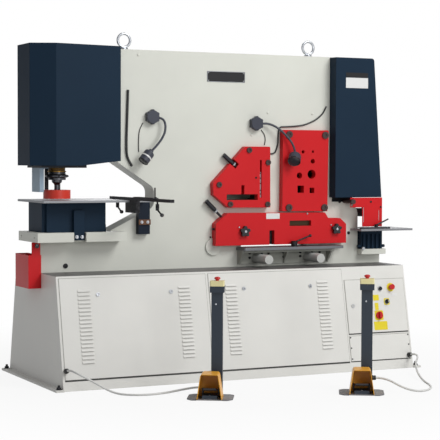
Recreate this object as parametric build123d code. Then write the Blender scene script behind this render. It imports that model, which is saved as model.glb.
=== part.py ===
from build123d import *
import math
import os

os.makedirs("parts", exist_ok=True)

# A floor-standing hydraulic ironworker with two cylinders: a punch in the throat at the left, a swinging
# shear beam with angle, section and flat shears in the middle, and a notcher at the right end.
# Millimetres. X runs along the machine to the right, Y to the back, Z up. The origin is on the floor,
# in the middle of the four anchor holes.

# Running gap between a moving piece and its guide, and seat gap between separate pieces
running_gap = 0.3
seat_gap = 0.3

# Base cabinet, a welded plate box whose front and back lean in towards the top
base_length = 2700.0
base_height = 740.0
base_top_depth = 820.0
base_foot_depth = 1120.0
base_wall = 8.0
base_deck = 20.0
base_floor = 10.0
foot_reach = 55.0
foot_overhang = 16.0
foot_thick = 15.0
anchor_hole_radius = 11.0
anchor_inset = 27.0
anchor_y = 545.0

# Louvred side panels, two of one size, on the leaning front
panel_edge = 19.0
panel_gap = 23.0
panel_door_gap = 18.0
panel_bottom = 74.0
panel_top_gap = 17.05
panel_sheet = 3.0
panel_window_margin = 35.0
louvre_offset = 364.0
louvre_width = 86.0
louvre_top_gap = 60.0
louvre_pitch = 26.2
louvre_first = 175.0
louvre_height = 15.0
louvre_depth = 8.0
louvre_sheet = 1.6
lock_offset = 265.0
lock_drop = 112.0
lock_radius = 13.0
lock_thick = 4.0

# Cabinet door at the right end of the front, hinged on its right edge
door_edge = 14.0
door_width = 502.0
door_bottom = 272.0
door_top = 656.0
door_sheet = 4.0
door_window_margin = 28.0
lower_panel_top = 252.0

# Controls on the door, as the distance from its left edge and the distance up the leaning front
push_button_offset = (293.0, 587.0)
estop_offset = (384.0, 594.0)
selector_offset = (341.0, 491.0)
main_switch_offset = (265.0, 393.0)
door_lock_offset = (54.0, 469.0)
button_stem_radius = 8.0
button_travel = 5.0
mushroom_radius = 20.0
mushroom_height = 18.0
mushroom_stem_radius = 11.0
mushroom_travel = 6.0

# Machine frame: two plates with a closing web between them. The heights of the body and of all that it
# carries are given for a base of body_foot high, and the body is set on the base's top at the end.
body_foot = 740.0
plate_front = -80.0
plate_thick = 40.0
web_thick = 35.0
frame_left = -1343.0
frame_right = 1353.0
frame_top = 2270.0
jaw_top = 950.0
jaw_step_x = -850.0
jaw_step_z = 1010.0
throat_wall_x = -505.0
throat_floor = (-573.0, 1145.0)
throat_roof = (-783.0, 1492.0)
throat_roof_z = 1500.0
throat_low_corner_z = 1178.0
throat_high_corner_z = 1312.0
throat_radius = 62.0
punch_end_x = -1075.0
shear_end_x = 935.0
shoulder_z = 1200.0
notch_wall_x = 1160.0
notch_wall_radius = 100.0
notch_floor_z = 806.0

# Punch cylinder and its ram
punch_x = -1193.0
punch_barrel_radius = 104.0
punch_barrel_top = 2200.0
punch_flange_half_x = 162.0
punch_flange_half_y = 145.0
punch_flange_bottom = 1451.0
ram_radius = 45.0
ram_fit = 0.05
ram_bottom = 1423.0
ram_top = 1930.0
ram_stroke = 80.0
gland_radius = 57.0
gland_height = 22.0
nut_radius = 80.0
nut_height = 55.0
punch_radius = 18.0
punch_tip_z = 1292.0
stripper_outer = 93.0
stripper_inner = 68.0
stripper_height = 60.0
stock_gap = 8.0
stripper_rod_radius = 14.0
stripper_rod_x = 43.0
stripper_rod_y = 90.0

# Punch table, die, die block and bolster
table_top_z = 1232.0
table_thick = 15.0
table_left = -1380.0
table_right = -602.0
table_front = -263.0
table_back = 281.0
die_radius = 50.0
die_height = 60.0
die_clearance = 1.0
bolster_left = -1400.0
bolster_right = -762.0
bolster_half_depth = 200.0
bolster_thick = 65.0
die_block_left = -1345.0
die_block_right = -895.0
die_block_half_depth = 150.0
rib_left = -1136.0
rib_right = -1060.0
rib_reach = 30.0

slug_box_reach = 90.0
table_post_left = -640.0
table_post_right = -556.0
table_post_depth = 48.0
table_post_low = 991.0
table_strap = (1056.0, 1094.0, 5.0)
table_strap_overhang = 4.0

# Length stop: a rail along Y with a sliding carriage
rail_x = -750.0
rail_width = 30.0
rail_height = 20.0
rail_front = -936.0
rail_back = 104.0
rail_clamp_y = -10.0
rail_stud_radius = 6.0
stop_front = -672.0
stop_back = -340.0
stop_wall = 5.0

# Shear beam and its pivot
pivot_x = -45.0
pivot_z = 889.0
pivot_radius = 50.0
pivot_head_radius = 61.0
pivot_head_thick = 12.0
beam_half_thick = 38.0
beam_swing = 4.0
hub_radius = 92.0
blade_thick = 28.0
blade_ledge = 20.0
beam_play = 4.0
rod_x = 1075.0
rod_radius = 45.0
rod_end_round = 20.0
pad_z = 1320.0
shear_barrel_radius = 100.0
shear_barrel_bottom = 1530.0
shear_barrel_top = 2120.0
notch_punch_x = 1270.0
beam_nose_low = 1160.0
beam_nose_high = 1226.0
beam_gap_low = 926.0
beam_gap_high = 1780.0

# Openings of the shears, seen from the front
flat_left = 180.0
flat_right = 720.0
flat_bed_z = 882.0
flat_window_low = 815.0
flat_window_high = 958.0
flat_bite = 3.0
angle_leg = (40.0, 287.0, 1222.0, 1261.0)
angle_post = (157.0, 179.0, 1261.0, 1326.0)
angle_window = ((25, 1212), (342, 1212), (342, 1530), (140, 1530), (25, 1412))
section_window = (586.0, 792.0, 1240.0, 1622.0)
section_rounds = ((661, 1569, 12), (744, 1571, 9), (743, 1500, 17), (632, 1396, 22), (733, 1405, 33))
section_squares = ((642, 1296, 26), (737, 1287, 19))

# Red plates in front of the shears
red_thick = 50.0
flat_plate_thick = 65.0
flat_plate_low = 897.0
angle_outline = ((187, 1605), (389, 1605), (391, 1166), (52, 1168), (-66, 1260), (-70, 1345))
angle_slit = (306.0, 320.0, 1238.0, 1508.0)
angle_bolts = ((218, 1579), (371, 1491), (-22, 1332), (67, 1192), (368, 1189))
section_outline = ((494, 1728), (876, 1728), (868, 1132), (490, 1138))
section_bolts = ((544, 1694), (846, 1692), (544, 1163), (842, 1160))
flat_outline = ((42, 1130), (840, 1124), (868, 1083), (970, 1081), (1021, 1038), (1022, 897), (-55, 897),
                (-53, 1055), (-11, 1090))
flat_slot = (543.0, 723.0, 1029.0, 1068.0)
flat_notch = (377.0, 418.0, 1000.0)
flat_notch_depth = 60.0
angle_bolt_radius = 20.0
section_bolt_radius = 26.0
bolt_height = 10.0
star_knobs = ((172.0, 997.0), (931.0, 1002.0))
star_knob_radius = 40.0
star_knob_lobe = 12.0
star_knob_depth = 26.0
star_stud_radius = 9.0

# Hold-down screws, as the X and Z of the knob end and of the tip
angle_screw = ((24.0, 1544.0), (186.0, 1410.0))
flat_screw = ((-112.0, 1217.0), (32.0, 1077.0))
screw_y = -107.0
screw_radius = 9.0
screw_knob_radius = 16.0
screw_knob_length = 92.0
screw_nut_radius = 15.0
screw_slot_width = 44.0
screw_slot_depth_x = 128.0

# Shear table, its bracket and the round support arms
shear_table_left = 140.0
shear_table_right = 965.0
shear_table_front = -215.0
shear_table_thick = 20.0
bracket_left = 150.0
bracket_right = 890.0
bracket_low = 757.0
bracket_plate = 20.0
arm_places = ((288.0, 800.0), (712.0, 800.0))
arm_radius = 33.0
arm_front = -310.0

# Covers, folded from sheet
cover_sheet = 3.0
punch_cover_room = 85.0
punch_cover_low = 1466.0
punch_cover_plan = ((-775, 130), (-1270, 205), (-1430, 127), (-1430, -127), (-1270, -205), (-775, -130))
punch_cover_lift_x = -1075.0
punch_cover_lift_z = 1497.0
shear_cover_left = 912.0
shear_cover_top_right = 1240.0
shear_cover_low_right = 1312.0
shear_cover_room = 145.0
shear_cover_low = 1234.0
shear_cover_half_depth = 170.0

# Notcher at the right end
notch_table_top = 1000.0
notch_table_thick = 15.0
notch_table_right = 1545.0
notch_table_front = -240.0
notch_table_back = 150.0
notch_table_left = 1095.0
fence_y = -211.0
fence_width = 26.0
fence_height = 13.0
notch_die_left = 1166.0
notch_die_right = 1352.0
notch_die_half_depth = 120.0
notch_bolster_thick = 40.0
notch_bolster_right = 1372.0
notch_bolster_half_depth = 140.0
notch_throat = (1190.0, 1326.0, 62.0)
notch_stroke = 94.0
guard_y = -190.0
guard_sheet = 4.0
guard_lift = 25.0
guard_left = 1030.0
guard_front_left = 1134.0
guard_right = 1306.0
guard_low = 1017.0
guard_step = 1160.0
guard_high = 1232.0
guard_slots = ((1142.0, 1050.0, 1160.0), (1276.0, 1063.0, 1138.0))
guard_slot_width = 5.0
guard_stud = (1043.0, 1203.0)

# Rear guard over the outlets of the shears
rear_guard = (-20.0, 880.0, 970.0, 1700.0)
rear_guard_back = 204.0
rear_guard_sheet = 3.0

# Pedal stations that stand on the floor in front
station_places = ((-587.0, -1172.0), (385.0, -1407.0))
station_turn = -30.0
stand_width = 290.0
stand_depth = 225.0
stand_thick = 8.0
post_place = (35.0, 75.0)
post_width = 72.0
post_depth = 50.0
post_wall = 3.0
post_top = 665.0
cap_width = 92.0
cap_depth = 72.0
cap_height = 40.0
estop_box_height = 34.0
hood_bottom_width = 160.0
hood_top_width = 112.0
hood_height = 158.0
hood_front = -130.0
hood_back = 30.0
hood_wall = 4.0
pedal_width = 84.0
pedal_axis = (8.0, 50.0)
pedal_thick = 12.0
pedal_rise = 9.0

# Lifting eyes
eye_places = (-699.0, 770.0)
eye_ring_radius = 46.0
eye_wire_radius = 9.0
eye_collar_radius = 28.0
eye_collar_height = 14.0

# Floor cords, with the routes of their middle lines
cord_radius = 7.0
gland_length = 34.0
short_gland = 24.0
gland_radius_small = 12.0
cord_lead = 66.0
hood_gland_x = -35.0
hood_gland_z = 45.0
post_gland_z = 90.0
left_gland_inset = 6.0
left_gland_height = 131.0
right_gland_inset = 17.0
right_gland_height = 93.0
left_cord_route = ((-1303, -694, 134), (-1250, -730, 105), (-1185, -742, 66), (-1130, -772, 30),
                   (-1080, -830, 9), (-1010, -895, 7), (-915, -927, 7), (-815, -915, 7), (-722, -882, 8),
                   (-640, -880, 18), (-578, -940, 36))
right_cord_route = ((1287, -714, 98), (1214, -792, 76), (1136, -916, 50), (1070, -1052, 24),
                    (1014, -1195, 7), (968, -1325, 7), (905, -1445, 7), (818, -1530, 7),
                    (722, -1543, 8), (646, -1496, 30))

# Power pack inside the base: an oil tank with the motor and the pump on it
tank_plan = (-780.0, -250.0, -210.0, 260.0)
tank_height = 330.0
motor_place = (-420.0, 60.0)
motor_radius = 105.0
motor_length = 300.0
motor_lift = 150.0
motor_foot = (240.0, 180.0, 60.0)
terminal_box_sink = 15.0
terminal_box_rise = 35.0
pump_radius = 60.0
pump_length = 100.0

# Work lamps on magnetic feet, with the routes of their flexible necks
lamp_foot_radius = 45.0
lamp_foot_lobe = 12.0
lamp_foot_depth = 40.0
lamp_feet = ((-526.0, 1806.0), (290.0, 1772.0))
neck_radius = 8.0
left_neck = ((-490, -100, 1806), (-445, -112, 1790), (-436, -125, 1750), (-446, -138, 1700),
             (-476, -148, 1650), (-520, -156, 1602), (-575, -160, 1552))
right_neck = ((326, -100, 1772), (385, -112, 1772), (440, -130, 1748), (500, -150, 1696),
              (548, -165, 1636), (568, -172, 1585), (566, -178, 1535))
left_head = (37.0, 84.0)
right_head = (46.0, 62.0)
left_head_aim = (-0.66, -0.12, -0.74)
right_head_aim = (-0.45, -0.62, -0.64)

# Wiring clipped to the front plate
right_conduit_radius = 5.5
left_conduit_radius = 8.0
wire_radius = 3.0
right_conduit = ((404, 1553), (450, 1556), (476, 1620), (478, 1700), (486, 1750), (600, 1754), (690, 1764),
                 (785, 1800), (850, 1850), (880, 1905))
left_conduit = ((-704, 1990), (-710, 1800), (-716, 1640), (-714, 1530), (-675, 1463))
left_wire = ((-590, 1764), (-618, 1712), (-624, 1640), (-622, 1562))
right_wire = ((338, 1726), (366, 1695), (374, 1655), (366, 1618))

plate_back = -plate_front
inner_front = plate_front + plate_thick
inner_back = -inner_front
half_length = base_length / 2
half_foot = base_foot_depth / 2
half_top = base_top_depth / 2
base_lean = (half_foot - half_top) / base_height
front_slope = math.hypot(base_height, half_foot - half_top)

# What follows from the sizes above: the door lies at the front's right edge, and the two panels fill the
# front between its left edge and the door
door_right = half_length - door_edge
door_left = door_right - door_width
push_button_place, estop_place, selector_place, main_switch_place, door_lock_place = (
    (door_left + across, up)
    for across, up in (push_button_offset, estop_offset, selector_offset, main_switch_offset, door_lock_offset)
)
right_gland_place = (door_right - right_gland_inset, right_gland_height)
panel_width = (door_left - panel_door_gap - panel_gap - panel_edge + half_length) / 2
panel_centres = (
    -half_length + panel_edge + panel_width / 2,
    door_left - panel_door_gap - panel_width / 2,
)
panel_top = front_slope - panel_top_gap
lock_height = panel_top - lock_drop
louvre_count = int((panel_top - louvre_top_gap - louvre_first - louvre_height) / louvre_pitch) + 1
punch_cover_top = punch_barrel_top + punch_cover_room
shear_cover_top = shear_barrel_top + shear_cover_room
left_gland_place = (panel_centres[0] - panel_width / 2 + left_gland_inset, left_gland_height)

# The leaning front of the base: local x is X, local y runs up the slope, local z points out
front_face = Plane(
    origin=(0, -half_foot, 0),
    x_dir=(1, 0, 0),
    z_dir=(0, -base_height, half_foot - half_top),
)


def block(x0, x1, y0, y1, z0, z1):
    return Pos((x0 + x1) / 2, (y0 + y1) / 2, (z0 + z1) / 2) * Box(x1 - x0, y1 - y0, z1 - z0)


def round_y(x, z, radius, y0, y1):
    return Pos(x, (y0 + y1) / 2, z) * Rot(90, 0, 0) * Cylinder(radius, y1 - y0)


def round_z(x, y, radius, z0, z1):
    return Pos(x, y, (z0 + z1) / 2) * Cylinder(radius, z1 - z0)


def round_between(start, end, radius):
    """A round bar between two points."""
    line = Vector(*end) - Vector(*start)
    plane = Plane(origin=start, z_dir=line)
    return plane * Pos(0, 0, line.length / 2) * Cylinder(radius, line.length)


def slab(points, y0, y1, rounded=()):
    """A plate with the outline given as X and Z, from y0 to y1; rounded lists (x, z, radius)."""
    shape = Polygon(*points, align=None)
    for x, z, radius in rounded:
        corner = shape.vertices().sort_by_distance((x, z, 0))[0]
        shape = fillet(corner, radius)
    return extrude(Plane.XZ.offset(-y1) * shape, amount=y1 - y0, dir=(0, -1, 0))


def on_front(x, up, out=0.0):
    """A place on the leaning front of the base."""
    return front_face * Pos(x, up, out)


def group(*pieces):
    """Separate solids that share one node."""
    return Compound([solid for piece in pieces for solid in piece.solids()])


def tube(points, radius, arc_limit=None):
    """A tube of straight runs joined by tangent arcs, each as large as its two runs allow."""
    route = [Vector(*point) for point in points]
    runs = [(b - a).length for a, b in zip(route, route[1:])]
    arcs = []
    for index in range(1, len(route) - 1):
        turn = (route[index] - route[index - 1]).get_angle(route[index + 1] - route[index])
        shorter = min(runs[index - 1], runs[index])
        arcs.append(0.45 * shorter / math.tan(math.radians(turn / 2)))
    path = FilletPolyline(*route, radius=arcs)
    start = Plane(origin=path @ 0, z_dir=path % 0)
    solid = sweep(start * Circle(radius), path=path)
    return solid, arcs, path.length


nodes = {}


# Base cabinet

def base_section(wall, low, high):
    """The cabinet's cross-section between two heights, inset by the wall."""
    foot = half_foot - base_lean * low - wall
    head = half_foot - base_lean * high - wall
    return Plane.YZ * Polygon((-foot, low), (foot, low), (head, high), (-head, high), align=None)


def front_window(x0, x1, up0, up1):
    """A hole through the front wall only."""
    depth = 3 * base_wall
    return on_front((x0 + x1) / 2, (up0 + up1) / 2) * Box(x1 - x0, up1 - up0, depth)


def make_base():
    shell = extrude(base_section(0, 0, base_height), amount=half_length, both=True)
    inside = extrude(
        base_section(base_wall, base_floor, base_height - base_deck),
        amount=half_length - base_wall,
        both=True,
    )
    shell -= inside
    for centre in panel_centres:
        reach = panel_width / 2 - panel_window_margin
        shell -= front_window(centre - reach, centre + reach, panel_bottom + panel_window_margin,
                              panel_top - panel_window_margin)
    shell -= front_window(door_left + door_window_margin, door_right - door_window_margin,
                          door_bottom + door_window_margin, door_top - door_window_margin)
    for side in (-1, 1):
        edge = side * half_length
        outer = edge + side * foot_reach
        foot = block(min(edge, outer), max(edge, outer), -half_foot - foot_overhang,
                     half_foot + foot_overhang, 0, foot_thick)
        for y in (-anchor_y, anchor_y):
            foot -= round_z(edge + side * anchor_inset, y, anchor_hole_radius, -1, foot_thick + 1)
        shell += foot
    return shell


nodes["base_cabinet"] = make_base()


def louvre(x, up):
    """One pressed louvre: a hood that opens downwards over its slot."""
    hood = Polygon((0, up), (louvre_depth, up - louvre_height), (0, up - louvre_height), align=None)
    gap = Polygon(
        (-panel_sheet, up - 2 * louvre_sheet),
        (0, up - 2 * louvre_sheet),
        (louvre_depth - louvre_sheet, up - louvre_height),
        (-panel_sheet, up - louvre_height),
        align=None,
    )
    side_view = Plane(origin=(x, 0, panel_sheet + seat_gap), x_dir=(0, 0, 1), z_dir=(-1, 0, 0))
    outer = extrude(side_view * hood, amount=louvre_width / 2, both=True)
    inner = extrude(side_view * gap, amount=louvre_width / 2 - louvre_sheet, both=True)
    return outer, inner


def make_panel(centre):
    """A louvred sheet with its two quarter-turn locks."""
    sheet = Pos(centre, (panel_bottom + panel_top) / 2, seat_gap + panel_sheet / 2) * Box(
        panel_width, panel_top - panel_bottom, panel_sheet
    )
    hoods = []
    slots = []
    for side in (-1, 1):
        for index in range(louvre_count):
            up = louvre_first + louvre_height + index * louvre_pitch
            outer, inner = louvre(centre + side * louvre_offset, up)
            hoods.append(outer)
            slots.append(inner)
    sheet = (sheet + hoods) - slots
    for side in (-1, 1):
        lock = Pos(centre + side * lock_offset, lock_height, seat_gap + panel_sheet + lock_thick / 2)
        sheet += lock * Cylinder(lock_radius, lock_thick)
    return front_face * sheet


lower_panel = on_front((door_left + door_right) / 2, (lower_panel_top + panel_bottom) / 2,
                       seat_gap + panel_sheet / 2)
lower_panel *= Box(door_right - door_left, lower_panel_top - panel_bottom, panel_sheet)
nodes["front_panels"] = group(*[make_panel(centre) for centre in panel_centres], lower_panel)


# Machine frame

frame_outline = (
    (frame_left, body_foot),
    (frame_left, jaw_top),
    (jaw_step_x, jaw_top),
    (jaw_step_x, jaw_step_z),
    throat_floor,
    (throat_wall_x, throat_low_corner_z),
    (throat_wall_x, throat_high_corner_z),
    throat_roof,
    (throat_roof[0] - 14, throat_roof_z),
    (punch_end_x, throat_roof_z),
    (punch_end_x, frame_top),
    (shear_end_x, frame_top),
    (shear_end_x, shoulder_z),
    (notch_wall_x, shoulder_z),
    (notch_wall_x, notch_floor_z),
    (frame_right, notch_floor_z),
    (frame_right, body_foot),
)
frame_rounds = (
    (throat_wall_x, throat_low_corner_z, throat_radius),
    (throat_wall_x, throat_high_corner_z, throat_radius),
    (notch_wall_x, shoulder_z, notch_wall_radius),
)
section_window_points = (
    (section_window[0], section_window[2]),
    (section_window[1], section_window[2]),
    (section_window[1], section_window[3]),
    (section_window[0], section_window[3]),
)


def grown(points, amount):
    """The outline made larger (or smaller) all round, with sharp corners."""
    return offset(Polygon(*points, align=None), amount=amount, kind=Kind.INTERSECTION)


def grown_slab(points, amount, y0, y1):
    return extrude(Plane.XZ.offset(-y1) * grown(points, amount), amount=y1 - y0, dir=(0, -1, 0))


def make_front_plate():
    plate = slab(frame_outline, plate_front, inner_front, frame_rounds)
    cut0 = plate_front - 1
    cut1 = inner_front + 1
    plate -= slab(angle_window, cut0, cut1)
    plate -= slab(section_window_points, cut0, cut1)
    plate -= block(flat_left, flat_right, cut0, cut1, flat_window_low, flat_window_high)
    plate -= round_y(pivot_x, pivot_z, pivot_radius + seat_gap, cut0, cut1)
    return plate


def make_rear_plate():
    plate = slab(frame_outline, inner_back, plate_back, frame_rounds)
    cut0 = inner_back - 1
    cut1 = plate_back + 1
    plate -= grown_slab(angle_window, 12, cut0, cut1)
    plate -= grown_slab(section_window_points, 12, cut0, cut1)
    plate -= block(flat_left - 20, flat_right + 20, cut0, cut1, flat_window_low, flat_window_high + 60)
    plate -= round_y(pivot_x, pivot_z, pivot_radius + seat_gap, cut0, cut1)
    return plate


def make_web():
    """Closing strips between the two plates, open where the beam comes out at the right."""
    whole = slab(frame_outline, inner_front, inner_back, frame_rounds)
    web = whole - grown_slab(frame_outline, -web_thick, inner_front - 1, inner_back + 1)
    web -= block(shear_end_x - web_thick - 1, notch_wall_x + 1, inner_front - 1, inner_back + 1,
                 beam_gap_low, beam_gap_high)
    x0, x1, half = notch_throat
    web -= block(x0, x1, inner_front - 1, inner_back + 1, notch_floor_z - web_thick - 1, notch_floor_z + 1)
    return web


nodes["frame_front_plate"] = make_front_plate()
nodes["frame_rear_plate"] = make_rear_plate()
nodes["frame_web"] = make_web()


def make_eye(x):
    ring_z = frame_top + eye_collar_height + eye_ring_radius + eye_wire_radius - 2
    ring = Pos(x, 0, ring_z) * Rot(90, 0, 0) * Torus(eye_ring_radius, eye_wire_radius)
    collar = round_z(x, 0, eye_collar_radius, frame_top, frame_top + eye_collar_height)
    return collar + ring


nodes["lifting_eyes"] = group(*[make_eye(x) for x in eye_places])


# Punch cylinder, ram and punch

def make_punch_cylinder():
    barrel = round_z(punch_x, 0, punch_barrel_radius, throat_roof_z, punch_barrel_top)
    cap = round_z(punch_x, 0, punch_barrel_radius + 12, punch_barrel_top - 60, punch_barrel_top)
    flange = block(punch_x - punch_flange_half_x, punch_x + punch_flange_half_x, -punch_flange_half_y,
                   punch_flange_half_y, punch_flange_bottom, throat_roof_z)
    saddle = block(punch_x + 60, punch_end_x, -punch_barrel_radius, punch_barrel_radius, throat_roof_z,
                   punch_barrel_top)
    gland = round_z(punch_x, 0, gland_radius, punch_flange_bottom - gland_height, punch_flange_bottom)
    body = barrel + cap + flange + saddle + gland
    bore_top = ram_top + 10
    body -= round_z(punch_x, 0, ram_radius + ram_fit, punch_flange_bottom - gland_height - 1, bore_top)
    return body


def turned(x, y, profile):
    """A turned piece on a vertical axis, from (radius, z) points."""
    face = make_face(Polyline(*[(radius, 0, z) for radius, z in profile], close=True))
    return Pos(x, y, 0) * revolve(face, Axis.Z, 360)


def make_nut():
    top = ram_bottom
    low = top - nut_height
    return turned(punch_x, 0, (
        (0, top), (58, top), (60, top - 16), (nut_radius, top - 24), (nut_radius, top - 34),
        (61, top - 41), (61, low), (0, low),
    ))


def make_punch():
    head = ram_bottom - nut_height
    return turned(punch_x, 0, (
        (0, head), (36, head), (34, head - 16), (24, head - 24), (punch_radius, head - 34),
        (punch_radius, punch_tip_z), (0, punch_tip_z),
    ))


def make_stripper():
    low = table_top_z + stock_gap
    high = low + stripper_height
    ring = round_z(punch_x, 0, stripper_outer, low, high)
    ring -= round_z(punch_x, 0, stripper_inner, low - 1, high + 1)
    for side in (-1, 1):
        x = punch_x + side * stripper_rod_x
        ring += round_z(x, stripper_rod_y, stripper_rod_radius, high - 40, punch_flange_bottom)
    return ring


nodes["punch_cylinder"] = make_punch_cylinder()
nodes["punch_ram"] = round_z(punch_x, 0, ram_radius, ram_bottom, ram_top)
nodes["punch_and_nut"] = make_nut() + make_punch()
nodes["stripper_ring"] = make_stripper()


def make_side_guard():
    """A bent sheet that hangs from the cylinder flange at the left of the punch."""
    left = punch_x - 158
    low = 1287.0
    high = punch_flange_bottom
    sheet = block(left, left + 4, -100, 60, low, high)
    sheet += block(left, left + 30, -100, -96, low, high)
    sheet += block(left, left + 66, -100, 60, high - 4, high)
    return sheet


def make_rear_guard():
    """A folded sheet behind the shears, open below, so that cut pieces fall out downwards."""
    x0, x1, z0, z1 = rear_guard
    sheet = rear_guard_sheet
    near = plate_back + seat_gap
    box = block(x0, x1, near, rear_guard_back, z0, z1)
    box -= block(x0 + sheet, x1 - sheet, near - 1, rear_guard_back - sheet, z0 - 1, z1 - sheet)
    for left, right in ((x0 - 24, x0 + sheet), (x1 - sheet, x1 + 24)):
        box += block(left, right, near, near + sheet, z0, z1)
    return box


nodes["side_guard"] = group(make_side_guard(), make_rear_guard())


def make_punch_table():
    plate = block(table_left, table_right, table_front, table_back, table_top_z - table_thick, table_top_z)
    plate -= round_z(punch_x, 0, die_radius + seat_gap, table_top_z - table_thick - 1, table_top_z + 1)
    plate -= round_z(rail_x, rail_clamp_y, rail_stud_radius + seat_gap, table_top_z - table_thick - 1,
                     table_top_z + 1)
    return plate


def make_die():
    die = round_z(punch_x, 0, die_radius, table_top_z - die_height, table_top_z)
    die -= round_z(punch_x, 0, punch_radius + die_clearance, table_top_z - die_height - 1, table_top_z + 1)
    return die


def make_die_block():
    low = jaw_top + bolster_thick
    high = table_top_z - table_thick
    body = block(die_block_left, die_block_right, -die_block_half_depth, die_block_half_depth, low, high)
    body -= round_z(punch_x, 0, die_radius + seat_gap, table_top_z - die_height, high + 1)
    body -= round_z(punch_x, 0, punch_radius + 8, low - 1, table_top_z - die_height + 1)
    body -= block(die_block_left - 1, die_block_left + 26, -die_block_half_depth - 1,
                  -die_block_half_depth + 26, low - 1, high + 1)
    rib = block(rib_left, rib_right, -die_block_half_depth - rib_reach, -die_block_half_depth,
                jaw_top + 12, high - 52)
    lug = block(die_block_right, die_block_right + 26, -90, -30, low, low + 46)
    return body + rib + lug


def make_bolster():
    plate = block(bolster_left, bolster_right, -bolster_half_depth, bolster_half_depth, jaw_top,
                  jaw_top + bolster_thick)
    plate -= block(jaw_step_x - seat_gap, bolster_right + 1, plate_front - seat_gap, plate_back + seat_gap,
                   jaw_top - 1, jaw_top + bolster_thick + 1)
    plate -= block(rib_left - 6, rib_right + 6, -bolster_half_depth - 1, -die_block_half_depth,
                   jaw_top - 1, jaw_top + bolster_thick + 1)
    plate -= round_z(punch_x, 0, punch_radius + 12, jaw_top - 1, jaw_top + bolster_thick + 1)
    for y in (-bolster_half_depth + 60, bolster_half_depth - 60):
        hole = Pos(bolster_left, y, jaw_top + bolster_thick / 2) * Rot(0, 90, 0) * Cylinder(7, 60)
        plate -= hole
    return plate


def make_table_post():
    """Bracket from the frame's face up to the underside of the table."""
    front = plate_front - table_post_depth
    low, high, thick = table_strap
    body = block(table_post_left, table_post_right, front, plate_front, table_post_low,
                 table_top_z - table_thick)
    strap = block(table_post_left - table_strap_overhang, table_post_right + table_strap_overhang,
                  front - thick, front, low, high)
    return body + strap


nodes["punch_table"] = make_punch_table()
nodes["punch_die"] = make_die()
nodes["die_block"] = make_die_block()


# Length stop

def make_rail():
    half = rail_width / 2
    bar = block(rail_x - half, rail_x + half, rail_front, rail_back, table_top_z, table_top_z + rail_height)
    low = table_top_z - table_thick
    shoe = block(rail_x - half, rail_x + half, -372, table_front - 0.5, low - 70, table_top_z)
    hook = block(rail_x - half, rail_x + half, table_front - 0.5, -186, low - 70, low)
    for y in (rail_clamp_y, -700.0):
        top = table_top_z
        boss = round_z(rail_x, y, 12, top - 57, low) + round_z(rail_x, y, rail_stud_radius, low, top)
        handle = round_between((rail_x, y, top - 51), (rail_x, y - 74, top - 86), 6)
        bar += boss + handle
    return bar + shoe + hook


def make_stop():
    half = rail_width / 2 + stop_wall
    fit = running_gap
    top = table_top_z + rail_height
    body = block(rail_x - half, rail_x + half, stop_front, stop_back, top - 8, top + stop_wall + fit)
    body -= block(rail_x - rail_width / 2 - fit, rail_x + rail_width / 2 + fit, stop_front - 1,
                  stop_back + 1, top - 9, top + fit)
    finger = round_z(rail_x, stop_front + 12, 5, top + fit + 1, top + 72)
    knob = Pos(rail_x + half, stop_front + 60, top + 1) * Rot(0, 90, 0) * Cylinder(9, 22)
    return body + finger + (knob - block(rail_x - half, rail_x + half - 1, stop_front, stop_back,
                                         top - 9, top + 20))


nodes["stop_rail"] = make_rail()
nodes["stop_carriage"] = make_stop()


def make_slug_box():
    left = -half_length - slug_box_reach
    right = -half_length - seat_gap
    front = -125.0
    back = 150.0
    low = 640.0
    high = 865.0
    wall = 3.0
    tray = block(left, right, front, back, low, high)
    tray -= block(left + wall, right - wall, front + wall, back - wall, low + wall, high + 1)
    hanger = block(left + 24, right - 6, front, front + 6, high - 20, jaw_top)
    knob = round_y(left + 52, jaw_top - 22, 13, front - 18, front)
    return tray + hanger + knob


nodes["slug_box"] = make_slug_box()


# Shear beam, pivot and blades

swing = math.radians(beam_swing)


def blade_edge(x):
    """Height of the moving flat blade's edge when the beam is up; it ends just under the bed."""
    return flat_bed_z - flat_bite + (x - pivot_x) * math.tan(swing)


beam_outline = (
    (-138, 806),
    (118, 806),
    (flat_left - 30, blade_edge(flat_left - 30) + 22),
    (flat_right + 20, blade_edge(flat_right + 20) + 22),
    (1010, 1080),
    (1180, beam_nose_low),
    (1340, beam_nose_low),
    (1340, beam_nose_high),
    (1138, beam_nose_high),
    (1138, pad_z),
    (1010, pad_z),
    (905, 1470),
    (858, 1664),
    (430, 1664),
    (350, 1572),
    (110, 1572),
    (-70, 1400),
    (-138, 1240),
)


def angle_cut(y0, y1, play=0.0):
    """The L-shaped way for angle bars."""
    x0, x1, z0, z1 = angle_leg
    leg = block(x0 - play, x1 + play, y0, y1, z0 - play, z1 + play)
    x0, x1, z0, z1 = angle_post
    return leg + block(x0 - play, x1 + play, y0, y1, z0 - 5, z1 + play)


def section_cuts(y0, y1, play=0.0):
    """The ways for round and square bars."""
    ways = [round_y(x, z, radius + play, y0, y1) for x, z, radius in section_rounds]
    for x, z, half in section_squares:
        ways.append(block(x - half - play, x + half + play, y0, y1, z - half - play, z + half + play))
    return ways


def make_beam():
    front = -beam_half_thick
    back = beam_half_thick
    beam = slab(beam_outline, front, back, ((-138, 1240, 60), (-70, 1400, 60)))
    beam += round_y(pivot_x, pivot_z, hub_radius, front, back)
    beam -= round_y(pivot_x, pivot_z, pivot_radius + ram_fit, front - 1, back + 1)
    pocket = front + blade_thick
    beam -= grown_slab(angle_window, -blade_ledge, pocket - 1, back + 1)
    beam -= grown_slab(section_window_points, -blade_ledge, pocket - 1, back + 1)
    beam -= angle_cut(front - 1, back + 1, beam_play)
    beam -= grown_slab(angle_window, -6 + seat_gap, front - 1, pocket)
    beam -= grown_slab(section_window_points, -6 + seat_gap, front - 1, pocket)
    beam -= slab(flat_blade_outline(0, seat_gap), front - 1, pocket)
    return beam


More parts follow.
